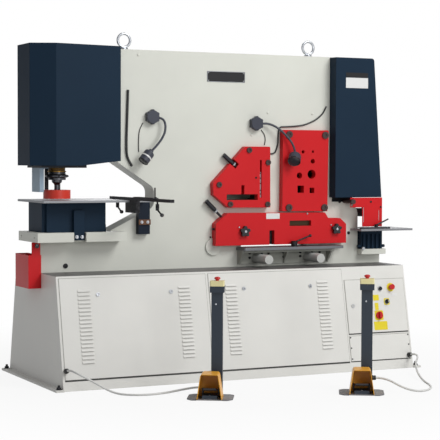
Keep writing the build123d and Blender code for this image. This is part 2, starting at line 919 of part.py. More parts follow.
def flat_blade_outline(edge_lift, play):
    left = flat_left + 6 - play
    right = flat_right - 6 + play
    return (
        (left, blade_edge(left) + edge_lift),
        (right, blade_edge(right) + edge_lift),
        (right, blade_edge(right) + 66 + play),
        (left, blade_edge(left) + 66 + play),
    )


def make_moving_blades():
    """Blades let into the front of the beam, a hair proud of it."""
    front = inner_front + running_gap
    back = -beam_half_thick + blade_thick
    angle = grown_slab(angle_window, -6, front, back) - angle_cut(front - 1, back + 1)
    section = grown_slab(section_window_points, -6, front, back) - section_cuts(front - 1, back + 1)
    flat = slab(flat_blade_outline(0, 0), front, back)
    return group(angle, section, flat)


def make_fixed_blades():
    """Blades let into the windows of the front plate."""
    front = plate_front + seat_gap
    back = inner_front
    angle = grown_slab(angle_window, -seat_gap, front, back) - angle_cut(front - 1, back + 1)
    section = grown_slab(section_window_points, -seat_gap, front, back)
    section -= section_cuts(front - 1, back + 1)
    flat = block(flat_left + seat_gap, flat_right - seat_gap, front, back, flat_window_low,
                 flat_bed_z)
    return group(angle, section, flat)


def make_pivot():
    pin = round_y(pivot_x, pivot_z, pivot_radius, plate_front, plate_back)
    pin += round_y(pivot_x, pivot_z, pivot_head_radius, plate_front - pivot_head_thick, plate_front)
    pin += round_y(pivot_x, pivot_z, pivot_head_radius, plate_back, plate_back + pivot_head_thick)
    return pin


nodes["shear_beam"] = make_beam()
nodes["moving_blades"] = make_moving_blades()
nodes["fixed_blades"] = make_fixed_blades()
nodes["pivot_pin"] = make_pivot()


# Red plates

def screw_frame(ends):
    """Unit vector of a hold-down screw and its start and tip as points."""
    start = Vector(ends[0][0], screw_y, ends[0][1])
    tip = Vector(ends[1][0], screw_y, ends[1][1])
    return start, tip, (tip - start).normalized()


def screw_hole(ends, back_off, radius):
    start, tip, way = screw_frame(ends)
    near = tip - way * back_off
    far = tip + way * 4
    return round_between(tuple(near), tuple(far), radius)


def make_angle_plate():
    front = plate_front - red_thick
    plate = slab(angle_outline, front, plate_front, ((187, 1605, 10), (389, 1605, 10), (-70, 1345, 10)))
    plate -= angle_cut(front - 1, plate_front + 1, 1)
    x0, x1, z0, z1 = angle_slit
    plate -= block(x0, x1, front - 1, plate_front + 1, z0, z1)
    start, tip, way = screw_frame(angle_screw)
    side = Vector(-way.Z, 0, way.X) * (screw_slot_width / 2)
    near = start - way * 20
    far = start + way * screw_slot_depth_x
    corners = (near + side, far + side, far - side, near - side)
    plate -= slab([(corner.X, corner.Z) for corner in corners], front - 1, plate_front + 1)
    plate -= screw_hole(angle_screw, 100, screw_radius + running_gap)
    return plate


def make_section_plate():
    front = plate_front - red_thick
    plate = slab(section_outline, front, plate_front, ((494, 1728, 8), (876, 1728, 8)))
    plate -= section_cuts(front - 1, plate_front + 1, 0.5)
    return plate


def make_flat_plate():
    front = plate_front - flat_plate_thick
    plate = slab(flat_outline, front, plate_front, ((1021, 1038, 12), (970, 1081, 12)))
    x0, x1, z0, z1 = flat_slot
    plate -= block(x0, x1, front - 1, plate_front + 1, z0, z1)
    x0, x1, z1 = flat_notch
    plate -= block(x0, x1, front - 1, front + flat_notch_depth, flat_plate_low - 1, z1)
    plate -= round_y(pivot_x, pivot_z, pivot_head_radius + 1, plate_front - pivot_head_thick - 1,
                     plate_front + 1)
    plate -= screw_hole(flat_screw, 120, screw_radius + running_gap)
    for x, z in star_knobs:
        plate -= round_y(x, z, star_stud_radius + running_gap, front - 1, plate_front + 1)
    return plate


nodes["angle_plate"] = make_angle_plate()
nodes["section_plate"] = make_section_plate()
nodes["flat_plate"] = make_flat_plate()


def bolt(x, z, y, radius):
    """A socket-head bolt seen from the front, its head standing on a plate's face."""
    head = round_y(x, z, radius, y - bolt_height, y)
    return head - round_y(x, z, radius * 0.45, y - bolt_height - 1, y - bolt_height / 2)


def make_plate_bolts():
    face = plate_front - red_thick
    heads = [bolt(x, z, face, angle_bolt_radius) for x, z in angle_bolts]
    return heads + [bolt(x, z, face, section_bolt_radius) for x, z in section_bolts]


def make_screw(ends):
    """A hold-down screw with a knurled grip, a lock nut and a plain end."""
    start, tip, way = screw_frame(ends)
    shank = round_between(tuple(start), tuple(tip), screw_radius)
    grip = round_between(tuple(start), tuple(start + way * screw_knob_length), screw_knob_radius)
    nut_start = start + way * (screw_knob_length + 6)
    nut = round_between(tuple(nut_start), tuple(nut_start + way * 12), screw_nut_radius)
    return shank + grip + nut


nodes["angle_hold_down"] = make_screw(angle_screw)
nodes["flat_hold_down"] = make_screw(flat_screw)


def make_star_knob(x, z):
    face = plate_front - flat_plate_thick - running_gap
    knob = round_y(x, z, star_knob_radius - star_knob_lobe, face - star_knob_depth, face)
    for index in range(5):
        angle = math.radians(90 + 72 * index)
        reach = star_knob_radius - star_knob_lobe
        knob += round_y(x + reach * math.cos(angle), z + reach * math.sin(angle), star_knob_lobe,
                        face - star_knob_depth, face - 5)
    return knob + round_y(x, z, star_stud_radius, face, plate_front - 2)


nodes["left_star_knob"] = make_star_knob(*star_knobs[0])
nodes["right_star_knob"] = make_star_knob(*star_knobs[1])


# Shear table

def make_shear_table():
    plate = block(shear_table_left, shear_table_right, shear_table_front, plate_front - seat_gap,
                  flat_bed_z - shear_table_thick, flat_bed_z)
    return fillet(plate.edges().filter_by(Axis.Z).sort_by(Axis.Y)[:2], 18)


def make_table_bracket():
    high = flat_bed_z - shear_table_thick
    back = plate_front
    plate = block(bracket_left, bracket_right, back - bracket_plate, back, bracket_low, high)
    plate += block(bracket_left, bracket_right, back - 84, back, high - bracket_plate, high)
    gusset = ((back - 84, high - 4), (back - 84, high - 24), (back - 24, bracket_low), (back - 4, bracket_low),
              (back - 4, high - 4))
    for x in (bracket_left, (bracket_left + bracket_right) / 2 - 6, bracket_right - 12):
        profile = Plane.YZ.offset(x) * Polygon(*gusset, align=None)
        plate += extrude(profile, amount=12, dir=(1, 0, 0))
    for x, z in arm_places:
        plate -= round_y(x, z, arm_radius + seat_gap, back - 90, back + 1)
    return plate


nodes["shear_table"] = make_shear_table()
nodes["table_brackets"] = group(make_table_bracket(), make_table_post())
nodes["support_arms"] = group(*[
    round_y(x, z, arm_radius, arm_front, plate_front) for x, z in arm_places
])


def make_squaring_lever():
    x = 565.0
    y = -178.0
    hub = round_z(x, y, 24, flat_bed_z + running_gap, flat_bed_z + 40)
    rod = round_between((x, y, flat_bed_z + 30), (x + 132, y, flat_bed_z + 76), 6)
    ball = Pos(x + 132, y, flat_bed_z + 76) * Sphere(11)
    return hub + rod + ball


nodes["squaring_lever"] = make_squaring_lever()


# Shear cylinder and rod

def make_shear_cylinder():
    barrel = round_z(rod_x, 0, shear_barrel_radius, shear_barrel_bottom, shear_barrel_top)
    barrel += round_z(rod_x, 0, shear_barrel_radius + 12, shear_barrel_top - 55, shear_barrel_top)
    barrel += round_z(rod_x, 0, shear_barrel_radius + 12, shear_barrel_bottom, shear_barrel_bottom + 50)
    barrel += block(shear_end_x, rod_x - 50, -shear_barrel_radius, shear_barrel_radius,
                    shear_barrel_bottom, shear_barrel_top)
    barrel -= round_z(rod_x, 0, rod_radius + ram_fit, shear_barrel_bottom - 1, shear_barrel_top - 120)
    return barrel


nodes["shear_cylinder"] = make_shear_cylinder()
shear_rod = round_z(rod_x, 0, rod_radius, pad_z + running_gap, shear_barrel_top - 140)
nodes["shear_rod"] = fillet(shear_rod.edges().sort_by(Axis.Z)[0], rod_end_round)


# Covers

def make_punch_cover():
    plan = Polygon(*punch_cover_plan, align=None)
    inner_plan = offset(plan, amount=-cover_sheet, kind=Kind.INTERSECTION)
    height = punch_cover_top - punch_cover_low
    cover = extrude(Plane.XY.offset(punch_cover_low) * plan, amount=height, dir=(0, 0, 1))
    cover -= extrude(Plane.XY.offset(punch_cover_low - 1) * inner_plan, amount=height + 1 - cover_sheet,
                     dir=(0, 0, 1))
    right = punch_cover_plan[0][0]
    cover -= block(right - 30, right + 1, plate_front - seat_gap, plate_back + seat_gap,
                   punch_cover_low - 1, punch_cover_top - cover_sheet)
    lift = ((punch_cover_lift_x, punch_cover_low - 5), (right + 5, punch_cover_low - 5),
            (right + 5, punch_cover_lift_z), (right - 20, punch_cover_lift_z),
            (punch_cover_lift_x, punch_cover_low))
    cover -= slab(lift, -300, 300)
    return cover


def make_shear_cover():
    low = shear_cover_low
    high = shear_cover_top
    outline = ((shear_cover_left, low), (shear_cover_low_right, low), (shear_cover_top_right, high),
               (shear_cover_left, high))
    inner = (
        (shear_cover_left + cover_sheet, low - 1),
        (shear_cover_low_right - cover_sheet, low - 1),
        (shear_cover_top_right - cover_sheet, high - cover_sheet),
        (shear_cover_left + cover_sheet, high - cover_sheet),
    )
    depth = shear_cover_half_depth
    cover = slab(outline, -depth, depth, ((shear_cover_top_right, high, 22),))
    cover -= slab(inner, -depth + cover_sheet, depth - cover_sheet)
    cover -= block(shear_cover_left - 1, shear_end_x, plate_front - seat_gap, plate_back + seat_gap,
                   low - 1, high + 1)
    return cover


nodes["punch_cover"] = make_punch_cover()
nodes["shear_cover"] = make_shear_cover()


# Notcher

def make_notch_punch():
    """Holder and rectangular punch, guided on the frame's end face and pushed by the beam."""
    rest_low = notch_table_top + notch_stroke - 6
    x0, x1, half = notch_throat
    holder = block(notch_wall_x + running_gap, x1, -half, half, rest_low + 26, beam_nose_low - 12)
    blade = block(x0 + 1, x1 - 1, -half + 1, half - 1, rest_low, rest_low + 26)
    button = round_z(notch_punch_x, 0, 24, beam_nose_low - 12, beam_nose_low - running_gap)
    return holder + blade + button


def make_notch_die():
    low = notch_floor_z + notch_bolster_thick
    high = notch_table_top - notch_table_thick
    half = notch_die_half_depth
    body = block(notch_die_left, notch_die_right, -half, half, low, high)
    x0, x1, throat_half = notch_throat
    body -= block(x0, x1, -throat_half, throat_half, low - 1, high + 1)
    rib_pitch = 37.0
    for index in range(5):
        x = notch_die_left + 12 + index * rib_pitch
        body += block(x, x + 14, -half - 14, -half, low, high - 30)
    for side in (-1, 1):
        edge = notch_die_left if side < 0 else notch_die_right
        stem = Pos(edge + side * 12, -half + 10, low + 20) * Rot(0, 90, 0)
        body += stem * Cylinder(11, 24)
    return body


def make_notch_bolster():
    left = notch_wall_x + seat_gap
    half = notch_bolster_half_depth
    plate = block(left, notch_bolster_right, -half, half, notch_floor_z, notch_floor_z + notch_bolster_thick)
    x0, x1, throat_half = notch_throat
    plate -= block(x0, x1, -inner_back, inner_back, notch_floor_z - 1, notch_floor_z + notch_bolster_thick + 1)
    return plate


def make_notch_table():
    low = notch_table_top - notch_table_thick
    plan = Polygon(
        (notch_table_left, notch_table_front), (notch_table_right, notch_table_front),
        (notch_table_right, notch_table_back), (notch_die_left, notch_table_back),
        (notch_die_left, plate_front - 4), (notch_table_left, plate_front - 4), align=None)
    table = extrude(Plane.XY.offset(low) * plan, amount=notch_table_thick, dir=(0, 0, 1))
    x0, x1, half = notch_throat
    table -= block(x0, x1, -half, half, low - 1, notch_table_top + 1)
    fence = block(notch_table_left + 12, notch_table_left + 262, fence_y - fence_width / 2,
                  fence_y + fence_width / 2, notch_table_top, notch_table_top + fence_height)
    return group(table, fence)


def make_notch_guard():
    """Red sheet in front of the notcher, slotted so that it can be lifted."""
    y0 = guard_y
    y1 = guard_y + guard_sheet
    outline = ((guard_left, guard_step), (guard_front_left, guard_step), (guard_front_left, guard_low),
               (guard_right, guard_low), (guard_right, guard_high), (guard_left, guard_high))
    sheet = slab(outline, y0, y1)
    sheet += block(guard_right - guard_sheet, guard_right, y1, y1 + 70, guard_low, guard_step)
    for x, low, high in guard_slots:
        sheet -= block(x, x + guard_slot_width, y0 - 1, y1 + 1, low, high)
    x, z = guard_stud
    sheet -= block(x - 9, x + 9, y0 - 1, y1 + 1, z - guard_lift - 9, z + 9)
    return sheet


def make_guard_stud():
    """Stud and clamp knob that carry the notch guard, fixed to the frame's face."""
    x, z = guard_stud
    stud = round_y(x, z, 8, guard_y - 8, plate_front)
    stud += round_y(x, z, 14, guard_y + guard_sheet + running_gap, plate_front)
    stud += round_y(x, z, 19, guard_y - 24, guard_y - running_gap)
    return stud


def make_fence_clamp():
    x = 1243.0
    y = fence_y
    z = notch_table_top + fence_height + running_gap
    hub = round_z(x, y, 13, z, z + 20)
    handle = round_between((x, y, z + 14), (x + 104, y, z + 58), 5.5)
    return hub + handle


nodes["notch_punch"] = make_notch_punch()
nodes["notch_die"] = make_notch_die()
nodes["bolster_plates"] = group(make_bolster(), make_notch_bolster())
nodes["notch_table"] = make_notch_table()
nodes["notch_guard"] = make_notch_guard()
nodes["plate_bolts"] = group(*make_plate_bolts(), make_guard_stud())
nodes["fence_clamp"] = make_fence_clamp()


# Door and its controls

def make_door():
    out = seat_gap + door_sheet / 2
    door = on_front((door_left + door_right) / 2, (door_bottom + door_top) / 2, out) * Box(
        door_right - door_left - 4, door_top - door_bottom, door_sheet)
    for place in (push_button_place, selector_place, main_switch_place):
        door -= on_front(place[0], place[1], out) * Cylinder(button_stem_radius + running_gap, 3 * door_sheet)
    door -= on_front(*estop_place, out) * Cylinder(mushroom_stem_radius + running_gap, 3 * door_sheet)
    lock = on_front(*door_lock_place, seat_gap + door_sheet + 2) * Cylinder(12, 4)
    return door + lock


def on_door(place, z0, z1, radius):
    """A round piece on the door between two heights above its face."""
    face = seat_gap + door_sheet
    return on_front(place[0], place[1], face + (z0 + z1) / 2) * Cylinder(radius, z1 - z0)


def make_push_button():
    stem = on_door(push_button_place, -14, 4, button_stem_radius)
    return stem + on_door(push_button_place, button_travel + 1, button_travel + 9, 13) + on_door(
        push_button_place, 4, button_travel + 1, button_stem_radius)


def make_panel_estop():
    stem = on_door(estop_place, -14, mushroom_travel + 8, mushroom_stem_radius)
    return stem + on_door(estop_place, mushroom_travel + 8, mushroom_travel + 8 + mushroom_height,
                          mushroom_radius)


def make_selector():
    face = seat_gap + door_sheet
    knob = on_door(selector_place, running_gap, 14, 15) + on_door(selector_place, -14, 1, button_stem_radius)
    return knob + on_front(selector_place[0], selector_place[1], face + 19) * Box(9, 28, 12)


def make_main_switch():
    face = seat_gap + door_sheet
    knob = on_door(main_switch_place, running_gap, 12, 27)
    knob += on_door(main_switch_place, -14, 1, button_stem_radius)
    return knob + on_front(main_switch_place[0], main_switch_place[1], face + 20) * Box(14, 50, 18)


nodes["cabinet_door"] = make_door()
nodes["push_button"] = make_push_button()
nodes["panel_estop"] = make_panel_estop()
nodes["selector"] = make_selector()
nodes["main_switch"] = make_main_switch()


# Pedal stations

stations = [Pos(x, y, 0) * Rot(0, 0, station_turn) for x, y in station_places]
cap_top = post_top + cap_height
box_top = cap_top + estop_box_height


def make_stand():
    """Floor plate with ears, hollow post, cap and the low base under the pedal."""
    w = stand_width / 2
    d = stand_depth / 2
    plan = Polygon((-w, -d + 40), (-w + 30, -d), (-w + 62, -d), (-w + 62, -d + 8), (w - 62, -d + 8),
                   (w - 62, -d), (w - 30, -d), (w, -d + 40), (w, d - 30), (w - 30, d), (-w + 30, d),
                   (-w, d - 30), align=None)
    stand = extrude(plan, amount=stand_thick, dir=(0, 0, 1))
    x, y = post_place
    post = Pos(x, y, (stand_thick + post_top) / 2) * Box(post_width, post_depth, post_top - stand_thick)
    post -= Pos(x, y, (stand_thick + post_top) / 2) * Box(post_width - 2 * post_wall,
                                                         post_depth - 2 * post_wall, post_top)
    cap = Pos(x, y, post_top + cap_height / 2) * Box(cap_width, cap_depth, cap_height)
    tray = block(-48, 48, -100, 20, stand_thick, stand_thick + 22)
    cheeks = block(-54, -46, -14, 20, stand_thick, 62) + block(46, 54, -14, 20, stand_thick, 62)
    return stand + post + cap + tray + cheeks


def trapezoid(bottom, top, low, high):
    return Polygon((-bottom / 2, low), (bottom / 2, low), (top / 2, high), (-top / 2, high), align=None)


def make_hood():
    low = stand_thick + seat_gap
    high = low + hood_height
    outer = extrude(Plane.XZ.offset(-hood_back) * trapezoid(
        hood_bottom_width, hood_top_width, low, high), amount=hood_back - hood_front, dir=(0, -1, 0))
    outer = fillet(outer.edges().filter_by(Axis.Y).sort_by(Axis.Z)[-2:], 16)
    inner = extrude(Plane.XZ.offset(-hood_back + hood_wall) * trapezoid(
        hood_bottom_width - 2 * hood_wall, hood_top_width - 2 * hood_wall, low - 1, high - hood_wall),
        amount=hood_back - hood_wall - hood_front + 1, dir=(0, -1, 0))
    return outer - inner


def make_estop_box():
    x, y = post_place
    box = Pos(x, y, cap_top + seat_gap + estop_box_height / 2) * Box(cap_width, cap_depth, estop_box_height)
    box = fillet(box.edges().filter_by(Axis.Z), 8)
    bore = Pos(x, y, box_top) * Cylinder(mushroom_stem_radius + running_gap, 60)
    return box - bore


def make_mushroom():
    x, y = post_place
    top = box_top + seat_gap
    low = top + mushroom_travel + 2
    stem = round_z(x, y, mushroom_stem_radius, top - 16, low)
    head = turned(x, y, (
        (0, low), (mushroom_radius - 5, low), (mushroom_radius, low + 6),
        (mushroom_radius - 2, low + mushroom_height - 5), (mushroom_radius - 10, low + mushroom_height - 1),
        (0, low + mushroom_height),
    ))
    return stem + head


def make_pedal():
    """A tread that tips about its rear pin, seen at rest with its front edge up."""
    y, z = pedal_axis
    tread = Pos(0, y, z) * Rot(-pedal_rise, 0, 0) * Pos(0, -56, 4) * Box(pedal_width, 104, pedal_thick)
    pin = Pos(0, y, z) * Rot(0, 90, 0) * Cylinder(5, 90.0 + 1.6)
    return tread + pin


nodes["pedal_stands"] = group(*[place * make_stand() for place in stations])
nodes["station_housings"] = group(
    *[place * make_hood() for place in stations],
    *[place * make_estop_box() for place in stations],
)
nodes["left_estop"] = stations[0] * make_mushroom()
nodes["right_estop"] = stations[1] * make_mushroom()
nodes["left_pedal"] = stations[0] * make_pedal()
nodes["right_pedal"] = stations[1] * make_pedal()


# Power pack inside the base

def make_power_pack():
    x0, x1, y0, y1 = tank_plan
    x, y = motor_place
    deck = base_floor + tank_height
    axis_z = deck + motor_lift
    tank = block(x0, x1, y0, y1, base_floor, deck)
    motor = Pos(x, y, axis_z) * Rot(0, 90, 0) * Cylinder(motor_radius, motor_length)
    across, depth, high = motor_foot
    motor += block(x - across / 2, x + across / 2, y - depth / 2, y + depth / 2, deck, deck + high)
    motor_crown = axis_z + motor_radius
    motor += block(x - 60, x + 40, y - 60, y + 60, motor_crown - terminal_box_sink,
                   motor_crown + terminal_box_rise)
    pump_x = x - motor_length / 2 - pump_length / 2
    pump = Pos(pump_x, y, axis_z) * Rot(0, 90, 0) * Cylinder(pump_radius, pump_length)
    return tank + motor + pump


nodes["power_pack"] = make_power_pack()


# Work lamps

def make_lamp(foot, neck, aim, head_size):
    """A lobed magnetic foot, a flexible neck and a round head with a collar."""
    x, z = foot
    base = round_y(x, z, lamp_foot_radius, plate_front - lamp_foot_depth, plate_front)
    for index in range(6):
        angle = math.radians(30 + 60 * index)
        reach = lamp_foot_radius - lamp_foot_lobe / 3
        base += round_y(x + reach * math.cos(angle), z + reach * math.sin(angle), lamp_foot_lobe,
                        plate_front - lamp_foot_depth + 4, plate_front - 6)
    stem = tube(neck, neck_radius)[0]
    way = Vector(*aim).normalized()
    start = Vector(*neck[-1]) - way * 12
    radius, length = head_size
    along = Plane(origin=tuple(start), z_dir=way)
    head = along * Pos(0, 0, length / 2) * Cylinder(radius, length)
    head = fillet(head.edges().filter_by(GeomType.CIRCLE).sort_by(Axis(start, way))[0], radius * 0.35)
    collar = along * Pos(0, 0, -4) * Cylinder(neck_radius + 9, 22)
    return base + stem + head + collar


nodes["work_lamps"] = group(
    make_lamp(lamp_feet[0], left_neck, left_head_aim, left_head),
    make_lamp(lamp_feet[1], right_neck, right_head_aim, right_head),
)


def clipped(route, radius):
    """A tube that lies on the front plate along a route of X and Z."""
    y = plate_front - radius - seat_gap
    return tube([(x, y, z) for x, z in route], radius)[0]


wiring = [clipped(left_conduit, left_conduit_radius), clipped(right_conduit, right_conduit_radius)]
wiring += [clipped(route, wire_radius) for route in (left_wire, right_wire)]
nodes["lamp_wiring"] = group(*wiring)


# Glands and floor cords

def panel_gland(x, z):
    """A gland on the base's leaning front; returns the solid and the middle of its open end."""
    up = z * front_slope / base_height
    out = seat_gap + panel_sheet
    solid = on_front(x, up, (out + gland_length) / 2) * Cylinder(13, gland_length - out)
    end = front_face.from_local_coords((x, up, gland_length))
    ahead = front_face.from_local_coords((x, up, gland_length + cord_lead))
    return solid, [tuple(end), tuple(ahead)]


def local_point(station, x, y, z):
    """A point of a pedal station in the machine's frame."""
    return tuple((station * Pos(x, y, z)).position)


left_gland, left_start = panel_gland(*left_gland_place)
right_gland, right_start = panel_gland(*right_gland_place)
post_side = post_place[0] + post_width / 2
left_seat = local_point(stations[0], hood_gland_x, hood_back, hood_gland_z)
left_end = [
    local_point(stations[0], hood_gland_x, hood_back + short_gland + cord_lead, hood_gland_z),
    local_point(stations[0], hood_gland_x, hood_back + short_gland, hood_gland_z),
]
right_seat = local_point(stations[1], post_side, post_place[1], post_gland_z)
right_end = [
    local_point(stations[1], post_side + short_gland + cord_lead, post_place[1], post_gland_z),
    local_point(stations[1], post_side + short_gland, post_place[1], post_gland_z),
]
nodes["cable_glands"] = group(
    left_gland,
    right_gland,
    round_between(left_seat, left_end[1], gland_radius_small),
    round_between(right_seat, right_end[1], gland_radius_small),
)

left_cord, left_arcs, left_length = tube(left_start + list(left_cord_route) + left_end, cord_radius)
right_cord, right_arcs, right_length = tube(right_start + list(right_cord_route) + right_end, cord_radius)
nodes["left_cord"] = left_cord
nodes["right_cord"] = right_cord

section_area = math.pi * cord_radius**2
for label, solid, arcs, length in (("left", left_cord, left_arcs, left_length),
                                   ("right", right_cord, right_arcs, right_length)):
    print(label, "cord length", round(length), "smallest arc", round(min(arcs)),
          "volume ratio", round(solid.volume / (section_area * length), 4))
    print([round(arc) for arc in arcs])

# Set the body, with all that it carries, on the base's top
floor_nodes = {
    "base_cabinet", "front_panels", "cabinet_door", "push_button", "panel_estop", "selector", "main_switch",
    "pedal_stands", "station_housings", "left_estop", "right_estop", "left_pedal", "right_pedal", "power_pack",
    "cable_glands", "left_cord", "right_cord",
}
body_seat = Pos(0, 0, base_height - body_foot)
for name, shape in nodes.items():
    placed = shape if name in floor_nodes else body_seat * shape
    export_step(placed, f"parts/{name}.step")
print(len(nodes), "nodes")
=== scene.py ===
import math

import bmesh
import bpy
from mathutils import Matrix, Vector


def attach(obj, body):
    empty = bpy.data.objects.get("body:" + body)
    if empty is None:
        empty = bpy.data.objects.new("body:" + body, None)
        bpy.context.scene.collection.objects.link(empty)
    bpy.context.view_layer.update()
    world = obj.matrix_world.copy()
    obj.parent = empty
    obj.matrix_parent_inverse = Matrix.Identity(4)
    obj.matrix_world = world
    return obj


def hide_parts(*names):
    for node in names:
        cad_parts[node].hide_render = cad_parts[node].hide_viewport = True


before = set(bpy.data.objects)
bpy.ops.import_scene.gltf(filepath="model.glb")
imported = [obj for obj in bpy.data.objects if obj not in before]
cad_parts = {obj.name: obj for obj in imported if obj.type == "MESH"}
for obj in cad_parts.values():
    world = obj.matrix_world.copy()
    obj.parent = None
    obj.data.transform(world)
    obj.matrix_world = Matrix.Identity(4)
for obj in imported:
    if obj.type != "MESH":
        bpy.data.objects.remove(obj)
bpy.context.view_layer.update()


# Studio: the camera stands far to the left in front of the machine, a little above the table's height, with a
# long lens. The floor is plain white paper, the world behind is plain white, and a large soft box high at the
# right lights the machine, so that its left end lies in shade.

def linear(colour):
    """An sRGB hex colour as linear red, green, blue and alpha."""
    channels = [int(colour[place:place + 2], 16) / 255 for place in (1, 3, 5)]
    return [c / 12.92 if c <= 0.04045 else ((c + 0.055) / 1.055) ** 2.4 for c in channels] + [1.0]


def add_node(tree, kind, inputs=None, links=None, **settings):
    """Adds a node with its settings, fixed inputs and links, each link as (node, output)."""
    made = tree.nodes.new(kind)
    for name, value in settings.items():
        setattr(made, name, value)
    for name, value in (inputs or {}).items():
        made.inputs[name].default_value = value
    for name, (source, output) in (links or {}).items():
        tree.links.new(source.outputs[output], made.inputs[name])
    return made


camera_data = bpy.data.cameras.new("camera")
camera_data.lens = 119.8
camera_data.clip_end = 200
camera = bpy.data.objects.new("camera", camera_data)
yaw = math.radians(26.13)
pitch = math.radians(2.31)
roll = math.radians(0.18)
aim = Vector((math.sin(yaw) * math.cos(pitch), math.cos(yaw) * math.cos(pitch), -math.sin(pitch)))
camera.rotation_mode = "QUATERNION"
camera.rotation_quaternion = Matrix.Rotation(roll, 3, -aim).to_quaternion() @ aim.to_track_quat("-Z", "Y")
camera.location = (-4.600, -9.479, 1.501)
bpy.context.scene.collection.objects.link(camera)
bpy.context.scene.camera = camera
bpy.context.scene.view_settings.view_transform = "Standard"

# White paper: matt, seen as white by the camera and in reflections, with a faint shadow near the machine
paper = bpy.data.materials.new("white_paper")
paper.use_nodes = True
tree = paper.node_tree
tree.nodes.clear()
paper_coat = add_node(tree, "ShaderNodeBsdfDiffuse", {"Color": linear("#c9c9c7")})
paper_glow = add_node(tree, "ShaderNodeEmission", {"Color": linear("#ffffff"), "Strength": 1.0})
ray = add_node(tree, "ShaderNodeLightPath")
seen = add_node(tree, "ShaderNodeMath", operation="MAXIMUM",
                links={0: (ray, "Is Camera Ray"), 1: (ray, "Is Glossy Ray")})
paper_place = add_node(tree, "ShaderNodeTexCoord")
reach = add_node(tree, "ShaderNodeVectorMath", operation="LENGTH", links={0: (paper_place, "Object")})
fade = add_node(tree, "ShaderNodeMapRange", {"From Min": 1.6, "From Max": 3.4, "To Min": 0.90, "To Max": 1.0},
                {"Value": (reach, "Value")})
share = add_node(tree, "ShaderNodeMath", links={0: (seen, 0), 1: (fade, 0)}, operation="MULTIPLY")
paper_mix = add_node(tree, "ShaderNodeMixShader",
                     links={0: (share, 0), 1: (paper_coat, 0), 2: (paper_glow, 0)})
add_node(tree, "ShaderNodeOutputMaterial", links={"Surface": (paper_mix, 0)})

floor_mesh = bpy.data.meshes.new("floor")
floor_mesh.from_pydata([(-30, -30, 0), (30, -30, 0), (30, 30, 0), (-30, 30, 0)], [], [(0, 1, 2, 3)])
floor_mesh.materials.append(paper)
floor = bpy.data.objects.new("floor", floor_mesh)
bpy.context.scene.collection.objects.link(floor)

room = bpy.data.worlds.new("pale_room")
room.use_nodes = True
tree = room.node_tree
tree.nodes.clear()
room_seen = add_node(tree, "ShaderNodeBackground", {"Color": linear("#ffffff"), "Strength": 1.0})
room_light = add_node(tree, "ShaderNodeBackground", {"Color": linear("#f6f7fa"), "Strength": 0.40})
ray = add_node(tree, "ShaderNodeLightPath")
seen = add_node(tree, "ShaderNodeMath", operation="MAXIMUM",
                links={0: (ray, "Is Camera Ray"), 1: (ray, "Is Transmission Ray")})
room_mix = add_node(tree, "ShaderNodeMixShader",
                    links={0: (seen, 0), 1: (room_light, 0), 2: (room_seen, 0)})
add_node(tree, "ShaderNodeOutputWorld", links={"Surface": (room_mix, 0)})
bpy.context.scene.world = room

# The high box is the main light. A weak one low in front and one behind lift the shade
for name, place, target, size, power in (
    ("high_front_box", (3.4, -6.2, 7.0), (0.1, 0, 1.1), 4.0, 520),
    ("low_front_box", (0.4, -9.0, 2.6), (0.0, 0, 0.9), 3.0, 120),
    ("back_soft_box", (3.5, 6.5, 5.0), (0.3, 0, 1.1), 4.0, 260),
):
    lamp_data = bpy.data.lights.new(name, "AREA")
    lamp_data.size = size
    lamp_data.energy = power
    lamp = bpy.data.objects.new(name, lamp_data)
    lamp.location = place
    lamp.rotation_mode = "QUATERNION"
    lamp.rotation_quaternion = (Vector(target) - Vector(place)).to_track_quat("-Z", "Y")
    bpy.context.scene.collection.objects.link(lamp)


# Floor cords: two cables in a ribbed pale grey nylon sleeve, 14 mm across. Each leaves a gland low on the
# cabinet's front, drops to the floor and lies in one loose curve to a gland on its pedal station.

def surface(name, colour, roughness, metallic=0.0, ior=None, specular=None):
    """A material with a plain Principled shader; returns the material and the shader."""
    material = bpy.data.materials.new(name)
    material.use_nodes = True
    shader = material.node_tree.nodes["Principled BSDF"]
    shader.inputs["Base Color"].default_value = linear(colour)
    shader.inputs["Roughness"].default_value = roughness
    shader.inputs["Metallic"].default_value = metallic
    if ior:
        shader.inputs["IOR"].default_value = ior
    if specular:
        shader.inputs["Specular IOR Level"].default_value = specular
    return material, shader


def two_tone(tree, shader, pattern, dark, pale, low=0.0, high=1.0):
    """Lets a pattern blend the shader's colour from a dark to a pale one."""
    blend = add_node(tree, "ShaderNodeValToRGB", links={"Fac": (pattern, "Fac")})
    for element, position, colour in zip(blend.color_ramp.elements, (low, high), (dark, pale)):
        element.position = position
        element.color = linear(colour)
    tree.links.new(blend.outputs["Color"], shader.inputs["Base Color"])


def emboss(tree, shader, pattern, strength, distance, output="Fac"):
    """Lets a pattern raise the surface by up to a distance in metres."""
    bump = add_node(tree, "ShaderNodeBump", {"Strength": strength, "Distance": distance},
                    {"Height": (pattern, output)})
    tree.links.new(bump.outputs["Normal"], shader.inputs["Normal"])


cord_diameter = 0.014

# Ribbed nylon sleeve: semi-matt, with rings 6 to 8 mm apart; the real ones are 3 mm and would not show
sleeve, sleeve_shader = surface("ribbed_nylon_sleeve", "#c9c9c4", 0.5, ior=1.53)
tree = sleeve.node_tree
along = add_node(tree, "ShaderNodeUVMap")
rib_bump_and_shade = add_node(tree, "ShaderNodeTexWave", {"Scale": 60.0, "Distortion": 0.0},
                    {"Vector": (along, "UV")}, bands_direction="X")
# The dark and pale bands are painted shade and highlight on each rib; the sleeve itself is one even colour
two_tone(tree, sleeve_shader, rib_bump_and_shade, "#b4b4b1", "#e6e6e3")
emboss(tree, sleeve_shader, rib_bump_and_shade, 0.6, 0.001)

